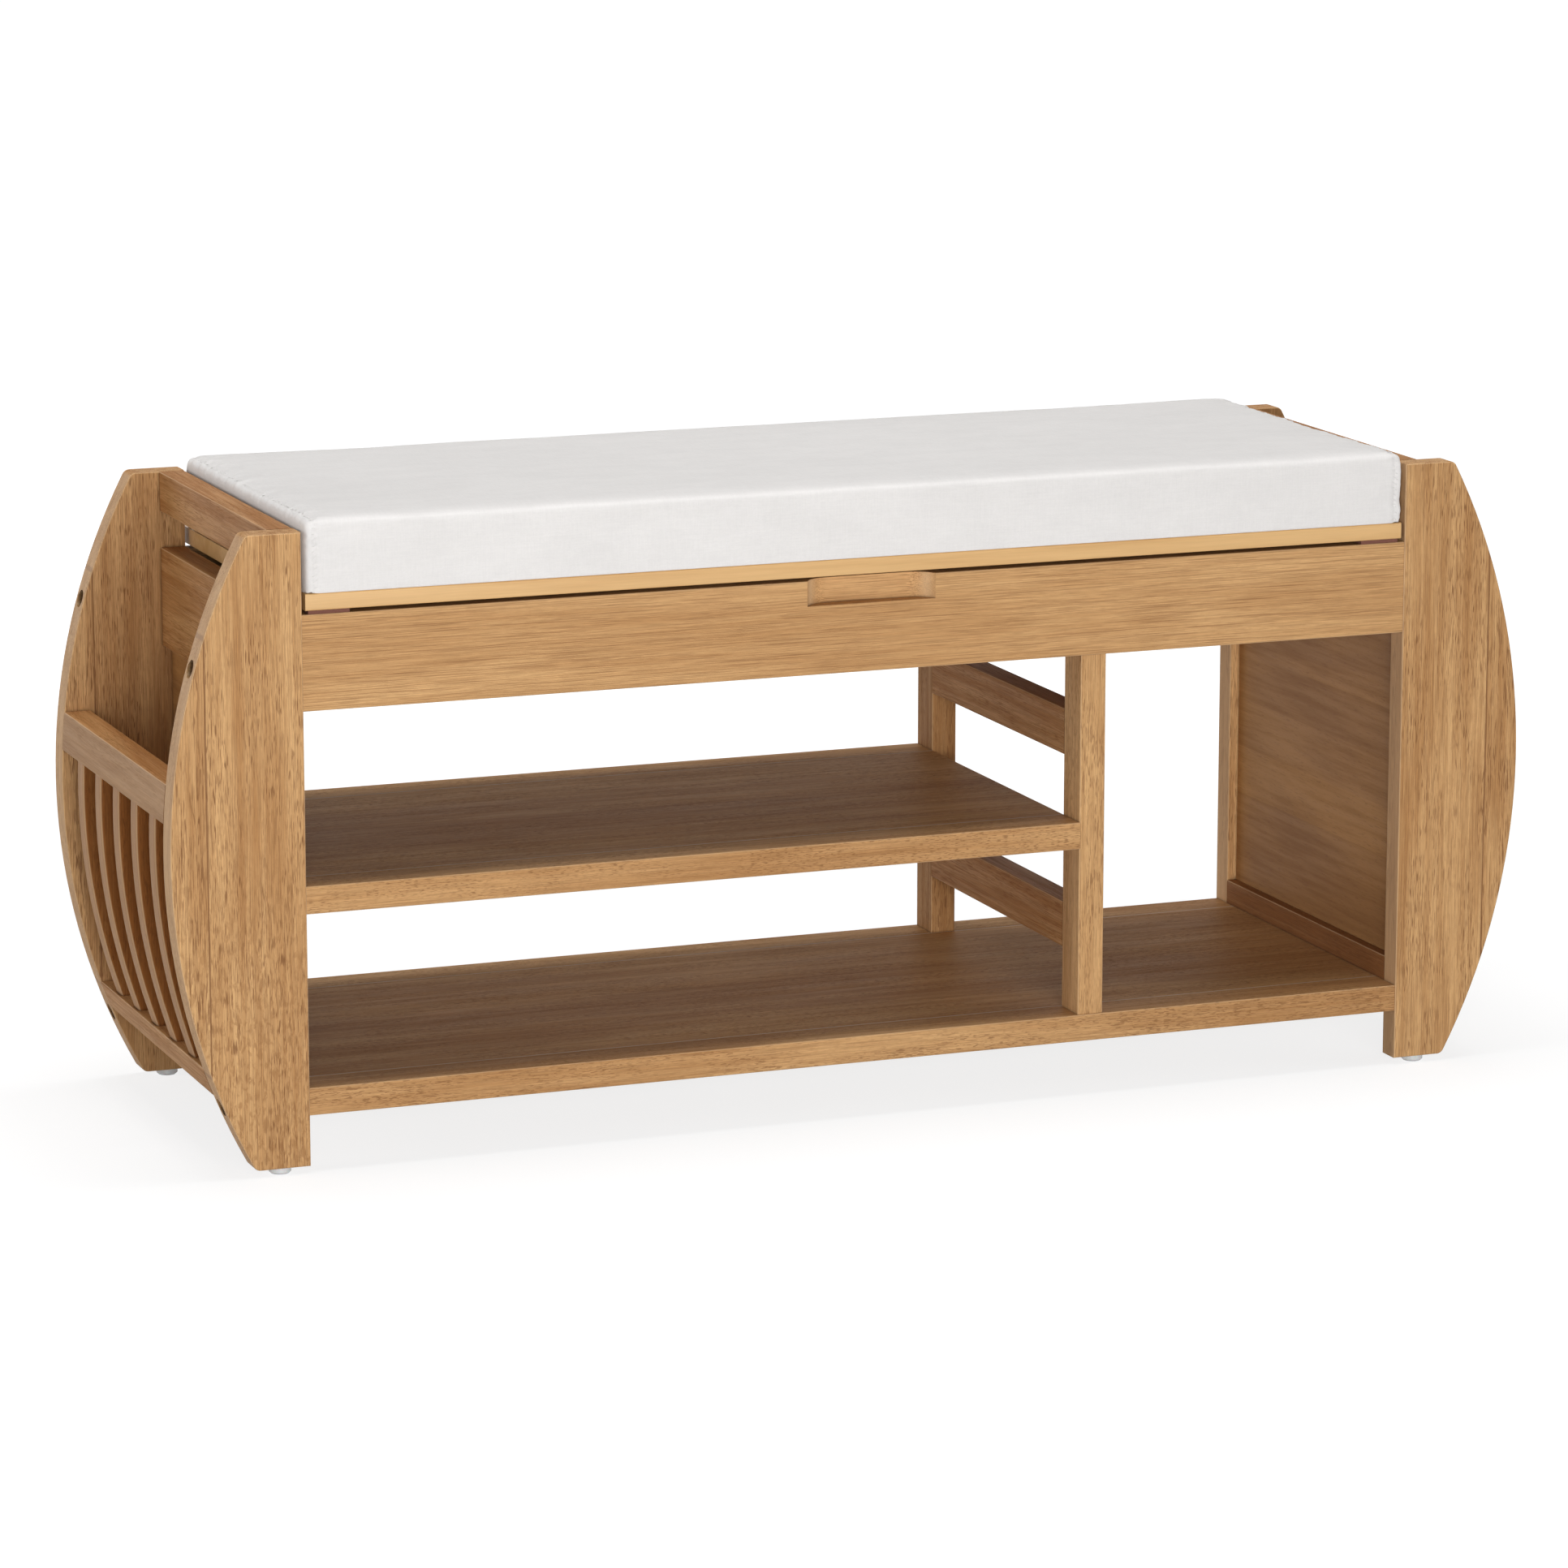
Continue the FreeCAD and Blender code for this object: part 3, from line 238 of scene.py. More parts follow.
def along_axis(tree, vector, axis):
    return add_node(tree, "ShaderNodeSeparateXYZ", {0: vector}).outputs[axis]


def strip_noise(tree, number):
    """A random value of its own for each whole number."""
    return add_node(tree, "ShaderNodeTexWhiteNoise", {"W": number}, noise_dimensions="1D").outputs["Value"]


def own_coordinates(tree, output="Object"):
    return add_node(tree, "ShaderNodeTexCoord").outputs[output]


def grain_coordinates(tree, rotation=(0.0, 0.0, 0.0), offset=(0.0, 0.0, 0.0)):
    """A piece's own coordinates, turned so that its grain runs along X."""
    return add_node(
        tree, "ShaderNodeMapping",
        {"Vector": own_coordinates(tree), "Location": offset, "Rotation": rotation}).outputs["Vector"]


def roughen(tree, shader, height, strength, depth):
    """Bump a shader's surface."""
    bump = add_node(tree, "ShaderNodeBump", {"Height": height, "Strength": strength, "Distance": depth})
    tree.links.new(bump.outputs[0], shader.inputs["Normal"])


def paint(names, material):
    """Give CAD nodes a material."""
    for name in names:
        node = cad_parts[name]
        if not node.material_slots:
            node.data.materials.append(material)
        for slot in node.material_slots:
            slot.material = material


# ---------------------------------------------------------------- timber

GRAIN_TURN = {
    "x": (0.0, 0.0, 0.0),
    "y": (0.0, 0.0, -math.pi / 2),
    "z": (0.0, math.pi / 2, 0.0),
}


def timber_group(timber):
    """Stained timber with its grain along X: streaks, fibres, pore dashes and blotches."""
    tree = bpy.data.node_groups.new("stained timber", "ShaderNodeTree")
    face = tree.interface
    face.new_socket("Vector", in_out="INPUT", socket_type="NodeSocketVector")
    for name, value in (
            ("Pores", 0.6), ("Lines", 0.35), ("Dash", 1.0), ("Blotches", 0.2), ("Streaks", 0.5),
            ("Tone", 0.5), ("Stave", 10.0), ("Bump", 0.2)):
        face.new_socket(name, in_out="INPUT", socket_type="NodeSocketFloat").default_value = value
    # Painted shade: a colour factor that darkens a piece for the shade that falls on it.
    shade = face.new_socket("Shade", in_out="INPUT", socket_type="NodeSocketVector")
    shade.default_value = (1.0, 1.0, 1.0)
    face.new_socket("Color", in_out="OUTPUT", socket_type="NodeSocketColor")
    face.new_socket("Roughness", in_out="OUTPUT", socket_type="NodeSocketFloat")
    face.new_socket("Normal", in_out="OUTPUT", socket_type="NodeSocketVector")
    given = tree.nodes.new("NodeGroupInput").outputs
    result = tree.nodes.new("NodeGroupOutput").inputs

    # Each stave of a glued-up board has grain of its own.
    across = maths(tree, "DIVIDE", along_axis(tree, given["Vector"], "Z"), given["Stave"])
    stave = maths(tree, "FLOOR", across)
    shift = add_node(tree, "ShaderNodeCombineXYZ", {
        "X": maths(tree, "MULTIPLY", stave, 3.17), "Y": maths(tree, "MULTIPLY", stave, 1.31), "Z": 0.0})
    vector = add_node(
        tree, "ShaderNodeVectorMath", {0: given["Vector"], 1: shift.outputs[0]}, operation="ADD").outputs[0]
    tone_step = strip_noise(tree, stave)

    broad = stretched_noise(tree, vector, (2.6, 20.0, 20.0), 3.0, 0.55, 0.4)
    bands = stretched_noise(tree, vector, (6.0, 170.0, 170.0), 4.0, 0.62, 0.3)
    fibres = stretched_noise(tree, vector, (28.0, 2000.0, 2000.0), 3.0, 0.70)
    dash_scale = add_node(tree, "ShaderNodeCombineXYZ", {
        "X": maths(tree, "DIVIDE", 125.0, given["Dash"]), "Y": 1550.0, "Z": 1550.0}).outputs[0]
    pores = stretched_noise(tree, vector, dash_scale, 1.0, 0.5)
    long_pores = stretched_noise(tree, vector, (18.0, 2300.0, 2300.0), 1.0, 0.5, 0.2)
    crowd = stretched_noise(tree, vector, (12.0, 75.0, 75.0), 2.0, 0.5)
    blotches = stretched_noise(tree, vector, (120.0, 330.0, 330.0), 3.0, 0.6, 0.4)

    tone = maths(tree, "ADD", maths(tree, "MULTIPLY", remap(tree, broad, 0.36, 0.64), 0.45),
                 maths(tree, "MULTIPLY", remap(tree, bands, 0.34, 0.68), given["Streaks"]))
    tone = maths(tree, "ADD", tone, maths(tree, "MULTIPLY", maths(tree, "SUBTRACT", tone_step, 0.5), 0.20))
    tone = maths(tree, "ADD", tone, maths(tree, "SUBTRACT", given["Tone"], 0.5))
    tone = remap(tree, tone, 0.0, 1.0, smooth=False)
    base = mix_colour(tree, tone, tuple(timber.light), tuple(timber.dark))
    base = scale_colour(tree, base, remap(tree, fibres, 0.32, 0.68, 0.78, 1.15, smooth=False))

    mottle = maths(tree, "MULTIPLY", remap(tree, blotches, 0.47, 0.62), given["Blotches"])
    base = mix_colour(tree, mottle, base, tuple(timber.blotch))

    crowding = remap(tree, crowd, 0.36, 0.58, 0.25, 1.0)
    dashes = maths(tree, "MULTIPLY", remap(tree, pores, 0.53, 0.64), crowding)
    lines = maths(tree, "MULTIPLY", remap(tree, long_pores, 0.56, 0.63), given["Lines"])
    dashes = maths(tree, "MAXIMUM", maths(tree, "MULTIPLY", dashes, given["Pores"]), lines)
    base = mix_colour(tree, dashes, base, tuple(timber.pore))

    # A fine dark line where two staves meet.
    joint = maths(tree, "ABSOLUTE", maths(tree, "SUBTRACT", across, maths(tree, "ROUND", across)))
    joint = maths(tree, "MULTIPLY", joint, given["Stave"])
    line = remap(tree, joint, 0.0003, 0.0009, 0.75, 0.0)
    base = mix_colour(tree, line, base, tuple(timber.pore))

    # Painted shade: the colour is multiplied by the piece's shade factor.
    shaded = add_node(tree, "ShaderNodeVectorMath", {0: base, 1: given["Shade"]}, operation="MULTIPLY")
    tree.links.new(shaded.outputs[0], result["Color"])
    gloss = remap(tree, bands, 0.3, 0.7, 0.50, 0.60)
    tree.links.new(maths(tree, "ADD", gloss, maths(tree, "MULTIPLY", dashes, 0.25)), result["Roughness"])
    height = maths(tree, "SUBTRACT", maths(tree, "MULTIPLY", fibres, 0.35), dashes)
    bump = add_node(
        tree, "ShaderNodeBump", {"Height": height, "Strength": given["Bump"], "Distance": 0.0004})
    tree.links.new(bump.outputs[0], result["Normal"])
    return tree


def arris_mask(tree, normal, bowed):
    """One on the rounded arrises. A bowed piece has them only beside its flat faces across Y."""
    parts = add_node(tree, "ShaderNodeSeparateXYZ", {0: normal}).outputs
    along_y = maths(tree, "ABSOLUTE", parts["Y"])
    if bowed:
        other = maths(tree, "SQRT", maths(tree, "SUBTRACT", 1.0, maths(tree, "MULTIPLY", along_y, along_y)))
        flattest = maths(tree, "MAXIMUM", along_y, other)
    else:
        flattest = maths(tree, "MAXIMUM", maths(tree, "ABSOLUTE", parts["X"]),
                         maths(tree, "MAXIMUM", along_y, maths(tree, "ABSOLUTE", parts["Z"])))
    return remap(tree, flattest, 0.72, 0.97, 1.0, 0.0)


def paint_crevice_shade(tree, base, reach=0.0035, darkest=0.35, own=False):
    """Painted shade: the colour darkens in the corners and along the joints, or only in a piece's own holes.
    """
    openness = add_node(
        tree, "ShaderNodeAmbientOcclusion", {"Distance": reach}, samples=8, only_local=own).outputs["AO"]
    factor = remap(tree, openness, 0.25, 0.85, darkest, 1.0)
    return scale_colour(tree, base, factor)


def timber_material(
        name, group, grain, offset, timber, bowed=False, bored=False, seams=(), edge_stain_and_sheen=None, **amounts):
    """Stained timber for one piece, its grain along an axis."""
    material, tree, shader = new_material(name, Specular_IOR_Level=0.07)
    normal = own_coordinates(tree, "Normal")
    wood = add_node(tree, "ShaderNodeGroup", node_tree=group)
    tree.links.new(grain_coordinates(tree, GRAIN_TURN[grain], offset), wood.inputs["Vector"])
    for key, value in amounts.items():
        wood.inputs[key].default_value = value
    base = wood.outputs["Color"]
    if edge_stain_and_sheen is not None:
        # The stain is thinner on the sawn curve, whose fibres run out of it; the lighter colour there is
        # also a painted sheen.
        side = maths(tree, "ABSOLUTE", along_axis(tree, normal, "X"))
        mask = remap(tree, side, 0.55, 0.85, 0.0, 0.50)
        base = mix_colour(tree, mask, base, edge_stain_and_sheen)
    # Partly wear, partly painted highlight: the arrises are lightened towards a paler colour.
    wear_and_highlight = maths(tree, "MULTIPLY", arris_mask(tree, normal, bowed), 0.45)
    base = mix_colour(tree, wear_and_highlight, base, tuple(timber.arris_wear_and_highlight))
    if seams:
        depth = along_axis(tree, own_coordinates(tree), "Y")
        for seam in seams:
            away = maths(tree, "ABSOLUTE", maths(tree, "SUBTRACT", depth, seam))
            filler = remap(tree, away, 0.0006, 0.0012, 0.75, 0.0)
            base = mix_colour(tree, filler, base, tuple(timber.seam))
    # Painted shade in the corners and along the joints between parts.
    base = paint_crevice_shade(tree, base)
    # Painted shade deep inside the panel's own holes.
    if bored:
        base = paint_crevice_shade(tree, base, reach=timber.hole_shade_reach, darkest=0.16, own=True)
    tree.links.new(base, shader.inputs["Base Color"])
    tree.links.new(wood.outputs["Roughness"], shader.inputs["Roughness"])
    tree.links.new(wood.outputs["Normal"], shader.inputs["Normal"])
    return material


SIDES = ("left", "right")
SLATS = [f"rack_slat_{side}_{number}" for side in SIDES for number in range(1, 6)]
APRONS = ["front_apron", "back_apron"]
SHELVES = [f"{level}_shelf_{part}" for level in ("bottom", "middle")
           for part in ("front_rail", "panel", "rear_rail")]
RAILS_Y = [f"{piece}_{side}" for piece in ("top_rail", "side_apron", "rack_rail", "rack_floor")
           for side in SIDES] + ["divider_rail_lower", "divider_rail_upper"]
SILLS = [f"end_sill_{side}" for side in SIDES]
PANELS = [f"end_panel_{row}_{side}" for row in ("front", "back") for side in SIDES]


# Pieces, the axis of their grain, and how much of each mark their stain shows.
STAINS = (
    (APRONS, "x", {
        "Pores": 0.22, "Lines": 0.45, "Dash": 2.2, "Blotches": 0.10, "Streaks": 0.25, "Tone": 0.35}),
    (SHELVES, "x", {
        "Pores": 0.60, "Lines": 0.30, "Dash": 0.6, "Blotches": 0.12, "Streaks": 0.30, "Tone": 0.52}),
    # Painted shade: the dark tone and the shade factor stand in for the weaker, warmer light on these rails.
    (RAILS_Y, "y", {
        "Pores": 0.50, "Lines": 0.35, "Dash": 1.5, "Blotches": 0.12, "Tone": 0.85,
        "Shade": (0.93, 0.87, 0.79)}),
    # Painted shade: the sills are darkened for the shade that falls on them in the bays.
    (SILLS, "y", {
        "Pores": 0.40, "Lines": 0.35, "Dash": 1.5, "Blotches": 0.12, "Tone": 0.95,
        "Shade": (0.68, 0.58, 0.50)}),
    (["divider_post_front"], "z", {
        "Pores": 0.60, "Blotches": 0.15, "Streaks": 0.40, "Tone": 0.48}),
    # Painted shade: the rear post is darkened for the shade that falls on it.
    (["divider_post_rear"], "z", {
        "Pores": 0.60, "Blotches": 0.15, "Streaks": 0.40, "Tone": 0.72, "Shade": (0.76, 0.72, 0.68)}),
    # Painted shade: the full dark tone, strong blotches and shade factor stand in for the shade on the
    # slats.
    (SLATS, "z", {
        "Pores": 0.60, "Blotches": 0.55, "Tone": 1.0, "Shade": (0.70, 0.54, 0.37)}),
)


def piece_offset(number):
    """A place in the timber pattern of its own for each piece."""
    return (0.83 * number, 0.57 * number, 0.0)


class BENCH_OT_timber(bpy.types.Operator):
    """Stain the frame's timber, each piece with grain of its own"""
    bl_idname = "bench.timber"
    bl_label = "Timber"

    def execute(self, context):
        timber = context.scene.bench.timber
        group = timber_group(timber)
        edge = tuple(timber.edge)
        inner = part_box("front_apron")[1].x
        # The seam is where a shelf's panel meets its rails.
        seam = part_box("bottom_shelf_panel")[1].y
        number = 0
        for names, grain, amounts in STAINS:
            for name in names:
                number += 1
                # The slats' outer faces get the curved-edge colour: thinner stain and a painted sheen.
                face = edge if name in SLATS else None
                # The rack rails' outer faces get the darker edge colour, as painted shade.
                if name.startswith("rack_rail"):
                    face = tuple(timber.rail_edge_shaded)
                paint([name], timber_material(
                    name.replace("_", " "), group, grain, piece_offset(number), timber, bowed=name in SLATS,
                    seams=(seam, -seam) if name in SHELVES else (), edge_stain_and_sheen=face, **amounts))
        for name in PANELS:
            number += 1
            side = 1 if name.endswith("right") else -1
            # Staves are counted from the inner edge, across the panel's width.
            place = piece_offset(number)
            offset = (place[0], place[1], side * inner - side * timber.trim)
            # The right panels get a darker tone, as painted shade.
            tone = timber.far_panel_shade_tone if name.endswith("right") else timber.panel_tone
            material = timber_material(
                name.replace("_", " "), group, "z", offset, timber, bowed=True, bored=True, edge_stain_and_sheen=edge,
                Pores=0.78, Lines=0.40, Dash=1.5, Tone=tone, Streaks=0.50, Blotches=0.15, Stave=timber.stave)
            if name == "end_panel_front_left":
                self.mottle_foot(material)
            paint([name], material)
        return {"FINISHED"}

    def mottle_foot(self, material):
        """Mottle a panel towards its foot."""
        tree = material.node_tree
        wood = next(node for node in tree.nodes if node.type == "GROUP")
        height = along_axis(tree, own_coordinates(tree), "Z")
        tree.links.new(remap(tree, height, 0.06, 0.32, 0.60, 0.12), wood.inputs["Blotches"])


class BENCH_OT_lid(bpy.types.Operator):
    """Finish the lid board, smoother and paler than the frame"""
    bl_idname = "bench.lid_board"
    bl_label = "Lid board"

    def execute(self, context):
        lid = context.scene.bench.lid
        material, tree, shader = new_material(
            "lid board", Specular_IOR_Level=0.45, Coat_Weight=0.15, Coat_Roughness=0.25)
        vector = grain_coordinates(tree)
        streaks = stretched_noise(tree, vector, (4.0, 90.0, 90.0), 4.0, 0.6, 0.2)
        fibres = stretched_noise(tree, vector, (30.0, 1400.0, 1400.0), 2.0)
        base = mix_colour(tree, remap(tree, streaks, 0.35, 0.70), tuple(lid.face), tuple(lid.shade))
        base = scale_colour(tree, base, remap(tree, fibres, 0.3, 0.7, 0.96, 1.03, smooth=False))
        tree.links.new(base, shader.inputs["Base Color"])
        tree.links.new(remap(tree, streaks, 0.3, 0.7, 0.34, 0.42), shader.inputs["Roughness"])
        roughen(tree, shader, fibres, 0.08, 0.0003)
        paint(["lid_board"], material)
        return {"FINISHED"}


class BENCH_OT_plywood(bpy.types.Operator):
    """Finish the plywood end walls and the storage box's bottom"""
    bl_idname = "bench.plywood"
    bl_label = "Plywood"

    def execute(self, context):
        ply = context.scene.bench.ply
        for name, grain in (("end_wall_left", "y"), ("end_wall_right", "y"), ("box_bottom", "x")):
            material, tree, shader = new_material(name.replace("_", " "), Specular_IOR_Level=0.08)
            vector = grain_coordinates(tree, GRAIN_TURN[grain], (0.4, 0.9, 0.0))
            figure = stretched_noise(tree, vector, (3.0, 14.0, 14.0), 4.0, 0.62, 0.9)
            streaks = stretched_noise(tree, vector, (8.0, 180.0, 180.0), 3.0, 0.6)
            pores = stretched_noise(tree, vector, (110.0, 1100.0, 1100.0), 1.0)
            tone = maths(tree, "ADD", maths(tree, "MULTIPLY", remap(tree, figure, 0.32, 0.68), 0.6),
                         maths(tree, "MULTIPLY", remap(tree, streaks, 0.35, 0.68), 0.4))
            # The face veneer is laid in strips.
            strip = maths(tree, "FLOOR", maths(tree, "DIVIDE", along_axis(tree, vector, "Z"), ply.strip))
            shift = maths(tree, "SUBTRACT", strip_noise(tree, strip), 0.5)
            tone = maths(tree, "ADD", tone, maths(tree, "MULTIPLY", shift, 0.5))
            tone = remap(tree, tone, 0.0, 1.0, smooth=False)
            base = mix_colour(tree, tone, tuple(ply.light), tuple(ply.dark))
            dashes = remap(tree, pores, 0.60, 0.70, 0.0, 0.30)
            base = mix_colour(tree, dashes, base, tuple(context.scene.bench.timber.pore))
            tree.links.new(base, shader.inputs["Base Color"])
            tree.links.new(remap(tree, streaks, 0.3, 0.7, 0.42, 0.54), shader.inputs["Roughness"])
            roughen(tree, shader, streaks, 0.10, 0.0003)
            paint([name], material)
        return {"FINISHED"}


class BENCH_OT_dowels(bpy.types.Operator):
    """Finish the beech dowels"""
    bl_idname = "bench.dowels"
    bl_label = "Dowels"

    def execute(self, context):
        material, tree, shader = new_material("beech dowel", Roughness=0.6)
        fleck = stretched_noise(tree, grain_coordinates(tree), (500.0, 500.0, 500.0), 2.0)
        base = mix_colour(tree, fleck, (0.66, 0.48, 0.30), (0.52, 0.35, 0.20))
        tree.links.new(base, shader.inputs["Base Color"])
        paint(["rail_dowels", "end_rail_dowels", "divider_dowels", "slat_dowels"], material)
        return {"FINISHED"}


# ---------------------------------------------------------------- metal and plastic

class BENCH_OT_metalwork(bpy.types.Operator):
    """Finish hinges, bolts, nuts and screws in plated steel"""
    bl_idname = "bench.metalwork"
    bl_label = "Metalwork"

    def execute(self, context):
        hinges = [f"hinge_{side}_{part}" for side in SIDES for part in ("fixed_leaf", "lid_leaf", "pin")]
        for name, names, tint, rough in (
                ("hinge steel", hinges, (0.62, 0.61, 0.59), (0.24, 0.36)),
                ("zinc steel", ["frame_bolts", "barrel_nuts", "divider_screws", "hinge_screws_apron",
                                "hinge_screws_lid"], (0.58, 0.58, 0.60), (0.28, 0.42))):
            material, tree, shader = new_material(name, Metallic=1.0)
            vector = grain_coordinates(tree)
            cloud = stretched_noise(tree, vector, (60.0, 60.0, 60.0), 3.0)
            grain = stretched_noise(tree, vector, (900.0, 3000.0, 3000.0), 1.0)
            base = mix_colour(tree, cloud, tint, tuple(0.88 * value for value in tint))
            tree.links.new(base, shader.inputs["Base Color"])
            tree.links.new(remap(tree, cloud, 0.3, 0.7, *rough), shader.inputs["Roughness"])
            roughen(tree, shader, grain, 0.06, 0.0002)
            paint(names, material)
        return {"FINISHED"}


class BENCH_OT_small_parts(bpy.types.Operator):
    """Finish glides, bumper pads and fastening tapes"""
    bl_idname = "bench.small_parts"
    bl_label = "Glides, pads and tapes"

    def execute(self, context):
        for name, node, light, dark, constants in (
                ("glide plastic", "glides", (0.72, 0.73, 0.73), (0.62, 0.63, 0.64),
                 {"Roughness": 0.35, "Subsurface_Weight": 0.15, "Subsurface_Scale": 0.003}),
                ("bumper pad", "bumper_pads", (0.190, 0.075, 0.050), (0.140, 0.052, 0.036),
                 {"Roughness": 0.9}),
                ("fastening tape", "cushion_tapes", (0.78, 0.76, 0.73), (0.66, 0.64, 0.61),
                 {"Roughness": 0.95})):
            material, tree, shader = new_material(name, **constants)
            speckle = stretched_noise(tree, grain_coordinates(tree), (700.0, 700.0, 700.0), 3.0)
            tree.links.new(mix_colour(tree, speckle, light, dark), shader.inputs["Base Color"])
            roughen(tree, shader, speckle, 0.15, 0.0003)
            paint([node], material)
        return {"FINISHED"}


# ---------------------------------------------------------------- cushion

def new_piece(name, bm, material, smooth=True):
    """Turn a bmesh into an object at the origin."""
    mesh = bpy.data.meshes.new(name)
    bm.to_mesh(mesh)
    bm.free()
    if smooth:
        for polygon in mesh.polygons:
            polygon.use_smooth = True
    mesh.materials.append(material)
    piece = bpy.data.objects.new(name, mesh)
    bpy.context.scene.collection.objects.link(piece)
    return piece


def select_only(piece):
    bpy.ops.object.select_all(action="DESELECT")
    piece.select_set(True)
    bpy.context.view_layer.objects.active = piece


def cover_material(cushion):
    material, tree, shader = new_material(
        "cushion cover", Roughness=0.88, Sheen_Weight=0.10, Sheen_Roughness=0.45, Specular_IOR_Level=0.25)
    vector = grain_coordinates(tree)
    pile = stretched_noise(tree, vector, (520.0, 900.0, 900.0), 4.0, 0.7)
    weft = stretched_noise(tree, vector, (55.0, 1000.0, 1000.0), 2.0, 0.6)
    warp = stretched_noise(tree, vector, (1000.0, 80.0, 80.0), 2.0, 0.6)
    threads = maths(tree, "ADD", maths(tree, "MULTIPLY", weft, 0.5), maths(tree, "MULTIPLY", warp, 0.5))
    pile = maths(tree, "ADD", maths(tree, "MULTIPLY", pile, 0.4), maths(tree, "MULTIPLY", threads, 0.6))
    brushed = stretched_noise(tree, vector, (26.0, 60.0, 60.0), 4.0, 0.6, 0.5)
    patches = stretched_noise(tree, vector, (9.0, 14.0, 14.0), 2.0, 0.5)
    tone = maths(tree, "ADD", maths(tree, "MULTIPLY", remap(tree, brushed, 0.35, 0.68), 0.55),
                 maths(tree, "MULTIPLY", remap(tree, patches, 0.35, 0.65), 0.45))
    plain = tuple(cushion.cover)
    base = mix_colour(tree, tone, plain, tuple(0.95 * value for value in plain))
    base = scale_colour(tree, base, remap(tree, pile, 0.40, 0.60, 0.97, 1.02, smooth=False))
    tree.links.new(base, shader.inputs["Base Color"])
    height = maths(tree, "ADD", pile, maths(tree, "MULTIPLY", brushed, 0.8))
    roughen(tree, shader, height, 0.30, 0.0010)
    return material


def padded_block(low, high, rounding):
    """A closed block with rounded edges between two corners."""
    bm = bmesh.new()
    bmesh.ops.create_cube(bm, size=1.0)
    bmesh.ops.scale(bm, vec=high - low, verts=bm.verts)
    bmesh.ops.translate(bm, vec=(low + high) / 2, verts=bm.verts)
    bmesh.ops.bevel(bm, geom=bm.edges[:], offset=rounding, segments=4, profile=0.5, affect="EDGES",
                    material=-1, clamp_overlap=True)
    return bm


def apply_modifier(piece, modifier):
    select_only(piece)
    bpy.ops.object.modifier_apply(modifier=modifier.name)


def voxel_remesh(piece, voxel):
    """Give a piece an even mesh."""
    remesh = piece.modifiers.new("remesh", "REMESH")
    remesh.mode = "VOXEL"
    remesh.voxel_size = voxel
    apply_modifier(piece, remesh)


def inflate(piece, pressure, swell, frames=20):
    """Fill a closed cover with air as a cloth, and limit how far its points move."""
    rest = [v.co.copy() for v in piece.data.vertices]
    cloth = piece.modifiers.new("cloth", "CLOTH")
    cloth.settings.quality = 6
    cloth.settings.mass = 0.3
    cloth.settings.tension_stiffness = 40.0
    cloth.settings.compression_stiffness = 40.0
    cloth.settings.shear_stiffness = 20.0
    cloth.settings.bending_stiffness = 2.0
    cloth.settings.use_pressure = True
    cloth.settings.uniform_pressure_force = pressure
    cloth.settings.effector_weights.gravity = 0.0
    cloth.collision_settings.use_collision = False
    cloth.point_cache.frame_start = 1
    cloth.point_cache.frame_end = frames
    scene = bpy.context.scene
    for number in range(1, frames + 1):
        scene.frame_set(number)
    apply_modifier(piece, cloth)
    scene.frame_set(1)
    for vertex, start in zip(piece.data.vertices, rest):
        move = vertex.co - start
        if move.length > swell:
            vertex.co = start + move.normalized() * swell


def fit_between(piece, low, high):
    """Stretch a cover a little so that it fills its space from side to side."""
    points = [v.co for v in piece.data.vertices]
    for i in range(3):
        least, most = min(p[i] for p in points), max(p[i] for p in points)
        factor = (high[i] - low[i]) / (most - least)
        for point in points:
            point[i] = low[i] + (point[i] - least) * factor


def sharpen_folds(piece, low, high, reach, keep):
    """Draw the points near the long faces out towards them, so that the long folds turn tighter."""
    for vertex in piece.data.vertices:
        for i in (1, 2):
            for face in (low[i], high[i]):
                inside = abs(vertex.co[i] - face)
                if inside < reach:
                    share_in = inside / reach
                    ease = share_in * share_in * (3 - 2 * share_in)
                    vertex.co[i] = face + (vertex.co[i] - face) * (keep + (1 - keep) * ease)


def refine_ends(piece, beyond):
    """Divide the faces beyond a distance from the middle, for the seams' wrinkles."""
    bm = bmesh.new()
    bm.from_mesh(piece.data)
    edges = [edge for edge in bm.edges if all(abs(v.co.x) > beyond for v in edge.verts)]
    bmesh.ops.subdivide_edges(bm, edges=edges, cuts=1, use_grid_fill=True)
    bm.to_mesh(piece.data)
    bm.free()


def end_seam_path(low, high, x, rounding, step):
    """Points round a rounded oblong at one end of the cushion, with outward directions."""
    centre = Vector((0.0, (low.y + high.y) / 2, (low.z + high.z) / 2))
    half_y = (high.y - low.y) / 2 - rounding
    half_z = (high.z - low.z) / 2 - rounding
    y, z = Vector((0, 1, 0)), Vector((0, 0, 1))
    runs = ((half_z * 2, y, -z), (half_y * 2, z, y), (half_z * 2, -y, z), (half_y * 2, -z, -y))
    points = []
    for length, out, along in runs:
        count = max(1, round(length / step))
        corner = Vector((0, out.y * half_y, out.z * half_z))
        for i in range(count):
            t = (i + 0.5) / count - 0.5
            place = corner + along * (t * length) + out * rounding
            points.append((Vector((x, 0, 0)) + centre + place, out))
        turn = max(1, round(rounding * math.pi / 2 / step))
        pivot = corner + along * (length / 2)
        for i in range(turn):
            angle = (i + 0.5) / turn * math.pi / 2
            direction = (out * math.cos(angle) + along * math.sin(angle)).normalized()
            points.append((Vector((x, 0, 0)) + centre + pivot + direction * rounding, direction))
    return points


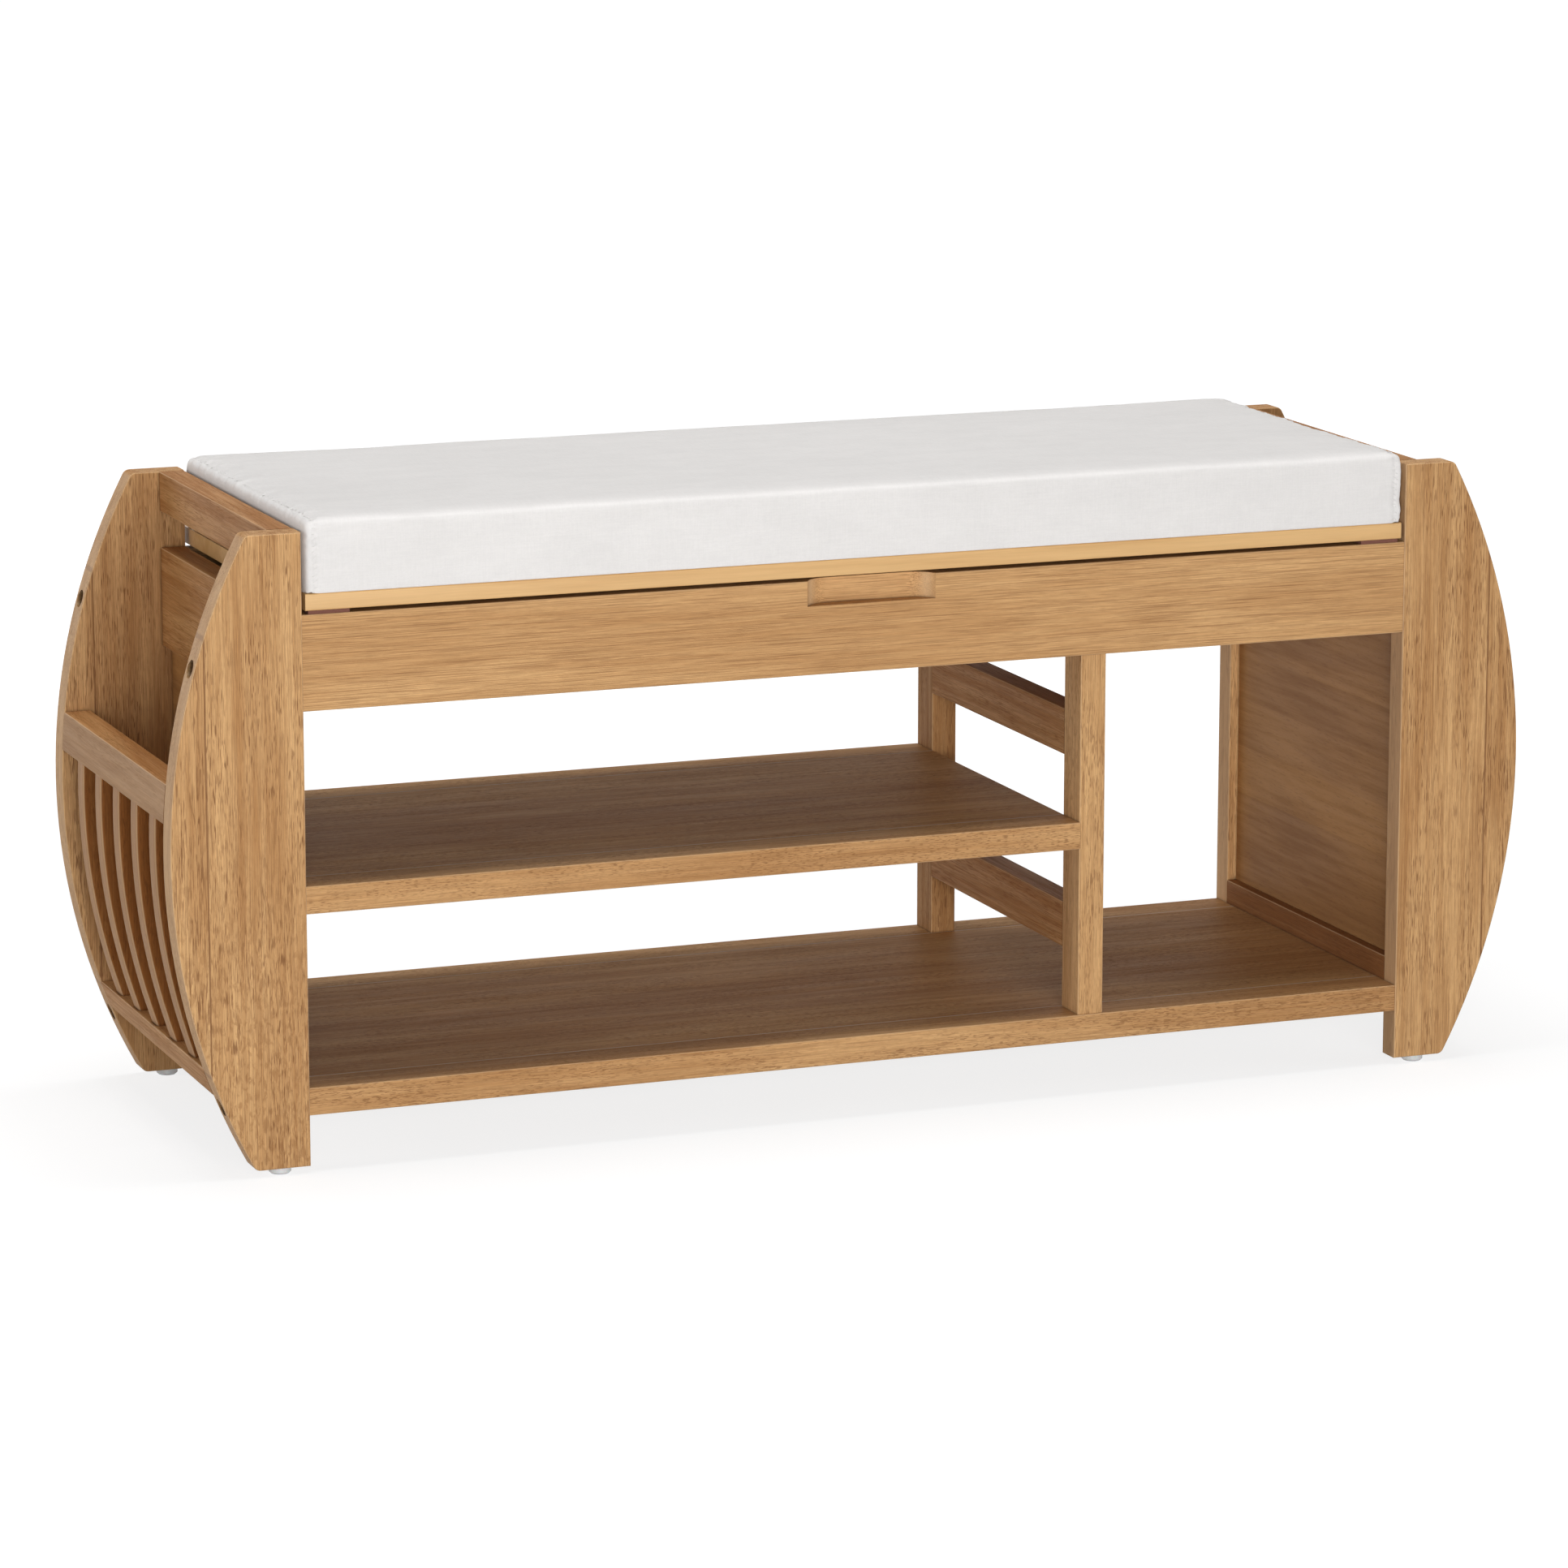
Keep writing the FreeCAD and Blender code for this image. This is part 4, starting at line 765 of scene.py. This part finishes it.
class BENCH_OT_cushion(bpy.types.Operator):
    """Make the cushion: a filled cover with a sewn-on end at each side"""
    bl_idname = "bench.cushion"
    bl_label = "Cushion"

    def execute(self, context):
        cushion = context.scene.bench.cushion
        low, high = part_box("seat_cushion")
        inset = Vector((cushion.start_inset,) * 3)
        under = Vector((0.0, 0.0, cushion.flatten))
        material = cover_material(cushion)
        piece = new_piece(
            "cushion_cover", padded_block(low + inset - under, high - inset, cushion.rounding), material)
        voxel_remesh(piece, cushion.voxel)
        inflate(piece, cushion.pressure, cushion.swell)
        soften = piece.modifiers.new("soften", "SUBSURF")
        soften.levels = soften.render_levels = 1
        apply_modifier(piece, soften)
        near = Vector((low.x + cushion.end_room, low.y - cushion.overhang, low.z - cushion.flatten))
        far = Vector((high.x - cushion.end_room, high.y, high.z))
        fit_between(piece, near, far)
        sharpen_folds(piece, near, far, cushion.fold_reach, cushion.fold_keep)
        self.rest_on_lid(piece, cushion, low, high)
        refine_ends(piece, high.x - 3 * cushion.seam_inset)
        self.sew_ends(piece, cushion, low, high)
        for polygon in piece.data.polygons:
            polygon.use_smooth = True
        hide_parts("seat_cushion")
        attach(piece, "lid")
        return {"FINISHED"}

    def rest_on_lid(self, piece, cushion, low, high):
        """Press the underside flat, and let its long edges down to the lid."""
        for vertex in piece.data.vertices:
            to_edge = min(vertex.co.y - low.y, high.y - vertex.co.y)
            fall = cushion.droop * min(max((cushion.droop_start - to_edge) / cushion.droop_run, 0.0), 1.0)
            vertex.co.z = max(vertex.co.z, low.z - fall)
            # The top slopes down past the end seams.
            past = max(abs(vertex.co.x) - high.x + cushion.seam_inset, 0.0) / cushion.seam_inset
            height = (vertex.co.z - low.z) / (high.z - low.z)
            vertex.co.z -= cushion.end_slope * past ** 1.5 * max(height, 0.0) ** 4

    def sew_ends(self, piece, cushion, low, high):
        """Draw the cover in along the end seams, and wrinkle it beside them."""
        seam_x = max(abs(low.x), abs(high.x)) - cushion.seam_inset
        middle = (low + high) / 2
        half = (high - low) / 2
        for vertex in piece.data.vertices:
            point = vertex.co
            away = abs(point.x) - seam_x
            if away < -cushion.seam_band:
                continue
            side = 1 if point.x > 0 else -1
            out = Vector((0.0, point.y - middle.y, point.z - middle.z))
            # Which face the point is on: its distance from the block's long edges decides.
            to_y = half.y - abs(out.y)
            to_z = half.z - abs(out.z)
            inward = Vector((0.0, -math.copysign(1, out.y) if to_y < to_z else 0.0,
                             -math.copysign(1, out.z) if to_z <= to_y else 0.0))
            if min(to_y, to_z) > cushion.seam_skin:
                continue
            groove = math.exp(-(away / cushion.seam_width) ** 2)
            # The thread pulls harder at each stitch.
            groove *= 0.7 + 0.3 * math.cos(2 * math.pi * (point.y + point.z) / cushion.stitch)
            run = point.z if to_y < to_z else point.y
            wave = noise.noise(Vector((side * 3.0, run * 110.0, away * 30.0)))
            wave += 0.8 * noise.noise(Vector((side * 7.0, run * 260.0, away * 60.0)))
            fade = math.exp(away / cushion.pucker_fade) if away < 0 else 1.0
            vertex.co = point + inward * (cushion.seam_depth * groove - cushion.pucker * wave * fade)


class BENCH_OT_stitching(bpy.types.Operator):
    """Lay a row of stitches along both end seams of the cushion"""
    bl_idname = "bench.stitching"
    bl_label = "Stitching"

    def execute(self, context):
        cushion = context.scene.bench.cushion
        low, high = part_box("seat_cushion")
        cover = bpy.data.objects["cushion_cover"]
        surface = BVHTree.FromObject(cover, context.evaluated_depsgraph_get())
        thread, tree, shader = new_material("sewing thread", Roughness=0.8)
        twist = stretched_noise(tree, grain_coordinates(tree), (2500.0, 2500.0, 2500.0), 1.0)
        plain = tuple(cushion.thread)
        base = mix_colour(tree, twist, plain, tuple(0.85 * value for value in plain))
        tree.links.new(base, shader.inputs["Base Color"])
        bm = bmesh.new()
        # Stitches are dropped on the cover from a little way off, and none lie under it.
        drop = 0.02
        lowest = low.z + 0.002
        for side in (-1, 1):
            x = side * (max(abs(low.x), abs(high.x)) - cushion.seam_inset)
            for point, out in end_seam_path(low, high, x, cushion.rounding, cushion.stitch):
                hit = surface.ray_cast(point + out * drop, -out, 2 * drop)[0]
                if hit is None or hit.z < lowest:
                    continue
                self.add_stitch(bm, hit + out * cushion.thread_radius * 0.5, out, side, cushion)
        piece = new_piece("cushion_stitches", bm, thread)
        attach(piece, "lid")
        return {"FINISHED"}

    def add_stitch(self, bm, place, out, side, cushion):
        """One slanted stitch lying on the cover."""
        along = Vector((1.0, 0.0, 0.0)).cross(out)
        lean = (along * 0.55 + Vector((side * 0.85, 0.0, 0.0))).normalized()
        turn = Matrix((lean, lean.cross(out).normalized(), out)).transposed().to_4x4()
        made = bmesh.ops.create_icosphere(bm, subdivisions=1, radius=1.0)
        size = Vector((cushion.stitch * 0.55, cushion.thread_radius, cushion.thread_radius))
        bmesh.ops.scale(bm, vec=size, verts=made["verts"])
        bmesh.ops.transform(bm, matrix=Matrix.Translation(place) @ turn, verts=made["verts"])


# ---------------------------------------------------------------- stage

# Each lamp's name, place, width and height, in metres.
LAMPS = (
    ("key", (-0.8, -3.5, 0.60), 2.0, 1.2),
    ("left", (-3.6, 0.0, 0.9), 1.6, 1.6),
    ("right", (3.4, -1.2, 1.2), 1.6, 1.4),
    ("back", (-2.2, 3.1, 0.6), 2.0, 1.2),
    ("top", (0.0, 0.1, 3.0), 2.4, 1.4),
)


class BENCH_OT_stage(bpy.types.Operator):
    """Set up the floor, the soft lamps and the camera"""
    bl_idname = "bench.stage"
    bl_label = "Stage"

    def execute(self, context):
        stage = context.scene.bench.stage
        self.add_floor(stage)
        self.light_world(context, stage)
        low, high = CAD_BOX
        centre = (low + high) / 2
        for name, place, width, height in LAMPS:
            self.add_lamp(f"{name} lamp", place, centre, getattr(stage, name), width, height)
        self.add_camera(context, stage)
        context.scene.view_settings.view_transform = "Standard"
        return {"FINISHED"}

    def add_floor(self, stage):
        bm = bmesh.new()
        bmesh.ops.create_grid(bm, x_segments=1, y_segments=1, size=stage.floor_size / 2)
        bmesh.ops.translate(bm, vec=(0.0, 0.0, CAD_BOX[0].z), verts=bm.verts)
        material = bpy.data.materials.new("floor")
        material.use_nodes = True
        tree = material.node_tree
        tree.nodes.clear()
        plain = add_node(tree, "ShaderNodeBsdfDiffuse", {"Color": (*stage.floor, 1.0)})
        faint = add_node(tree, "ShaderNodeBsdfDiffuse", {"Color": (0.30, 0.30, 0.30, 1.0)})
        # The glow rises away from the object, so that the floor fades into the backdrop.
        away = add_node(
            tree, "ShaderNodeVectorMath", {0: own_coordinates(tree)}, operation="LENGTH").outputs["Value"]
        glow = add_node(
            tree, "ShaderNodeEmission",
            {"Color": (1.0, 1.0, 1.0, 1.0), "Strength": remap(tree, away, 0.7, 1.6, 0.80, 1.0)})
        seen = add_node(tree, "ShaderNodeAddShader", {0: faint.outputs[0], 1: glow.outputs[0]})
        factor = self.seen_rays(tree)
        both = add_node(tree, "ShaderNodeMixShader", {0: factor, 1: plain.outputs[0], 2: seen.outputs[0]})
        add_node(tree, "ShaderNodeOutputMaterial", {"Surface": both.outputs[0]})
        floor = new_piece("floor", bm, material, smooth=False)

    def seen_rays(self, tree):
        """One for rays that see the floor or the backdrop, straight or in a gloss."""
        path = add_node(tree, "ShaderNodeLightPath").outputs
        straight = maths(tree, "MAXIMUM", path["Is Camera Ray"], path["Is Glossy Ray"])
        return maths(tree, "MAXIMUM", straight, path["Is Transmission Ray"])

    def light_world(self, context, stage):
        world = bpy.data.worlds.new("studio")
        context.scene.world = world
        world.use_nodes = True
        tree = world.node_tree
        tree.nodes.clear()
        soft = add_node(
            tree, "ShaderNodeBackground", {"Color": (1.0, 0.99, 0.97, 1.0), "Strength": stage.daylight})
        white = add_node(tree, "ShaderNodeBackground", {"Color": (1.0, 1.0, 1.0, 1.0), "Strength": 1.0})
        both = add_node(
            tree, "ShaderNodeMixShader", {0: self.seen_rays(tree), 1: soft.outputs[0], 2: white.outputs[0]})
        add_node(tree, "ShaderNodeOutputWorld", {"Surface": both.outputs[0]})

    def add_lamp(self, name, place, target, power, width, height):
        data = bpy.data.lights.new(name, "AREA")
        data.shape = "RECTANGLE"
        data.size, data.size_y, data.energy = width, height, power
        lamp = bpy.data.objects.new(name, data)
        lamp.location = place
        lamp.rotation_euler = (target - Vector(place)).to_track_quat("-Z", "Y").to_euler()
        bpy.context.scene.collection.objects.link(lamp)

    def add_camera(self, context, stage):
        data = bpy.data.cameras.new("camera")
        data.lens = stage.lens
        data.sensor_width = 36.0
        data.clip_start, data.clip_end = 0.1, 100.0
        camera = bpy.data.objects.new("camera", data)
        camera.location = stage.place
        camera.rotation_euler = (math.pi / 2 - stage.tilt, 0.0, -stage.turn)
        context.scene.collection.objects.link(camera)
        context.scene.camera = camera


# ---------------------------------------------------------------- panel and registration

STEPS = (
    BENCH_OT_stage,
    BENCH_OT_timber,
    BENCH_OT_lid,
    BENCH_OT_plywood,
    BENCH_OT_dowels,
    BENCH_OT_metalwork,
    BENCH_OT_small_parts,
    BENCH_OT_cushion,
    BENCH_OT_stitching,
)


class BENCH_PT_sidebar(bpy.types.Panel):
    """Sizes, colours and steps of the storage bench"""
    bl_idname = "BENCH_PT_sidebar"
    bl_label = "Storage Bench"
    bl_space_type = "VIEW_3D"
    bl_region_type = "UI"
    bl_category = "Bench"

    def draw(self, context):
        bench = context.scene.bench
        for heading in ("timber", "lid", "ply", "cushion", "stage"):
            box = self.layout.box()
            box.label(text=heading.capitalize())
            group = getattr(bench, heading)
            for key in group.__annotations__:
                box.prop(group, key)
        for step in STEPS:
            self.layout.operator(step.bl_idname)


CLASSES = (
    BenchTimberSettings,
    BenchLidSettings,
    BenchPlySettings,
    BenchCushionSettings,
    BenchStageSettings,
    BenchSettings,
    *STEPS,
    BENCH_PT_sidebar,
)


def register():
    for made in CLASSES:
        bpy.utils.register_class(made)
    bpy.types.Scene.bench = PointerProperty(type=BenchSettings)


def unregister():
    del bpy.types.Scene.bench
    for made in reversed(CLASSES):
        bpy.utils.unregister_class(made)


def main():
    register()
    for step in STEPS:
        category, name = step.bl_idname.split(".")
        getattr(getattr(bpy.ops, category), name)()


if __name__ == "__main__":
    main()
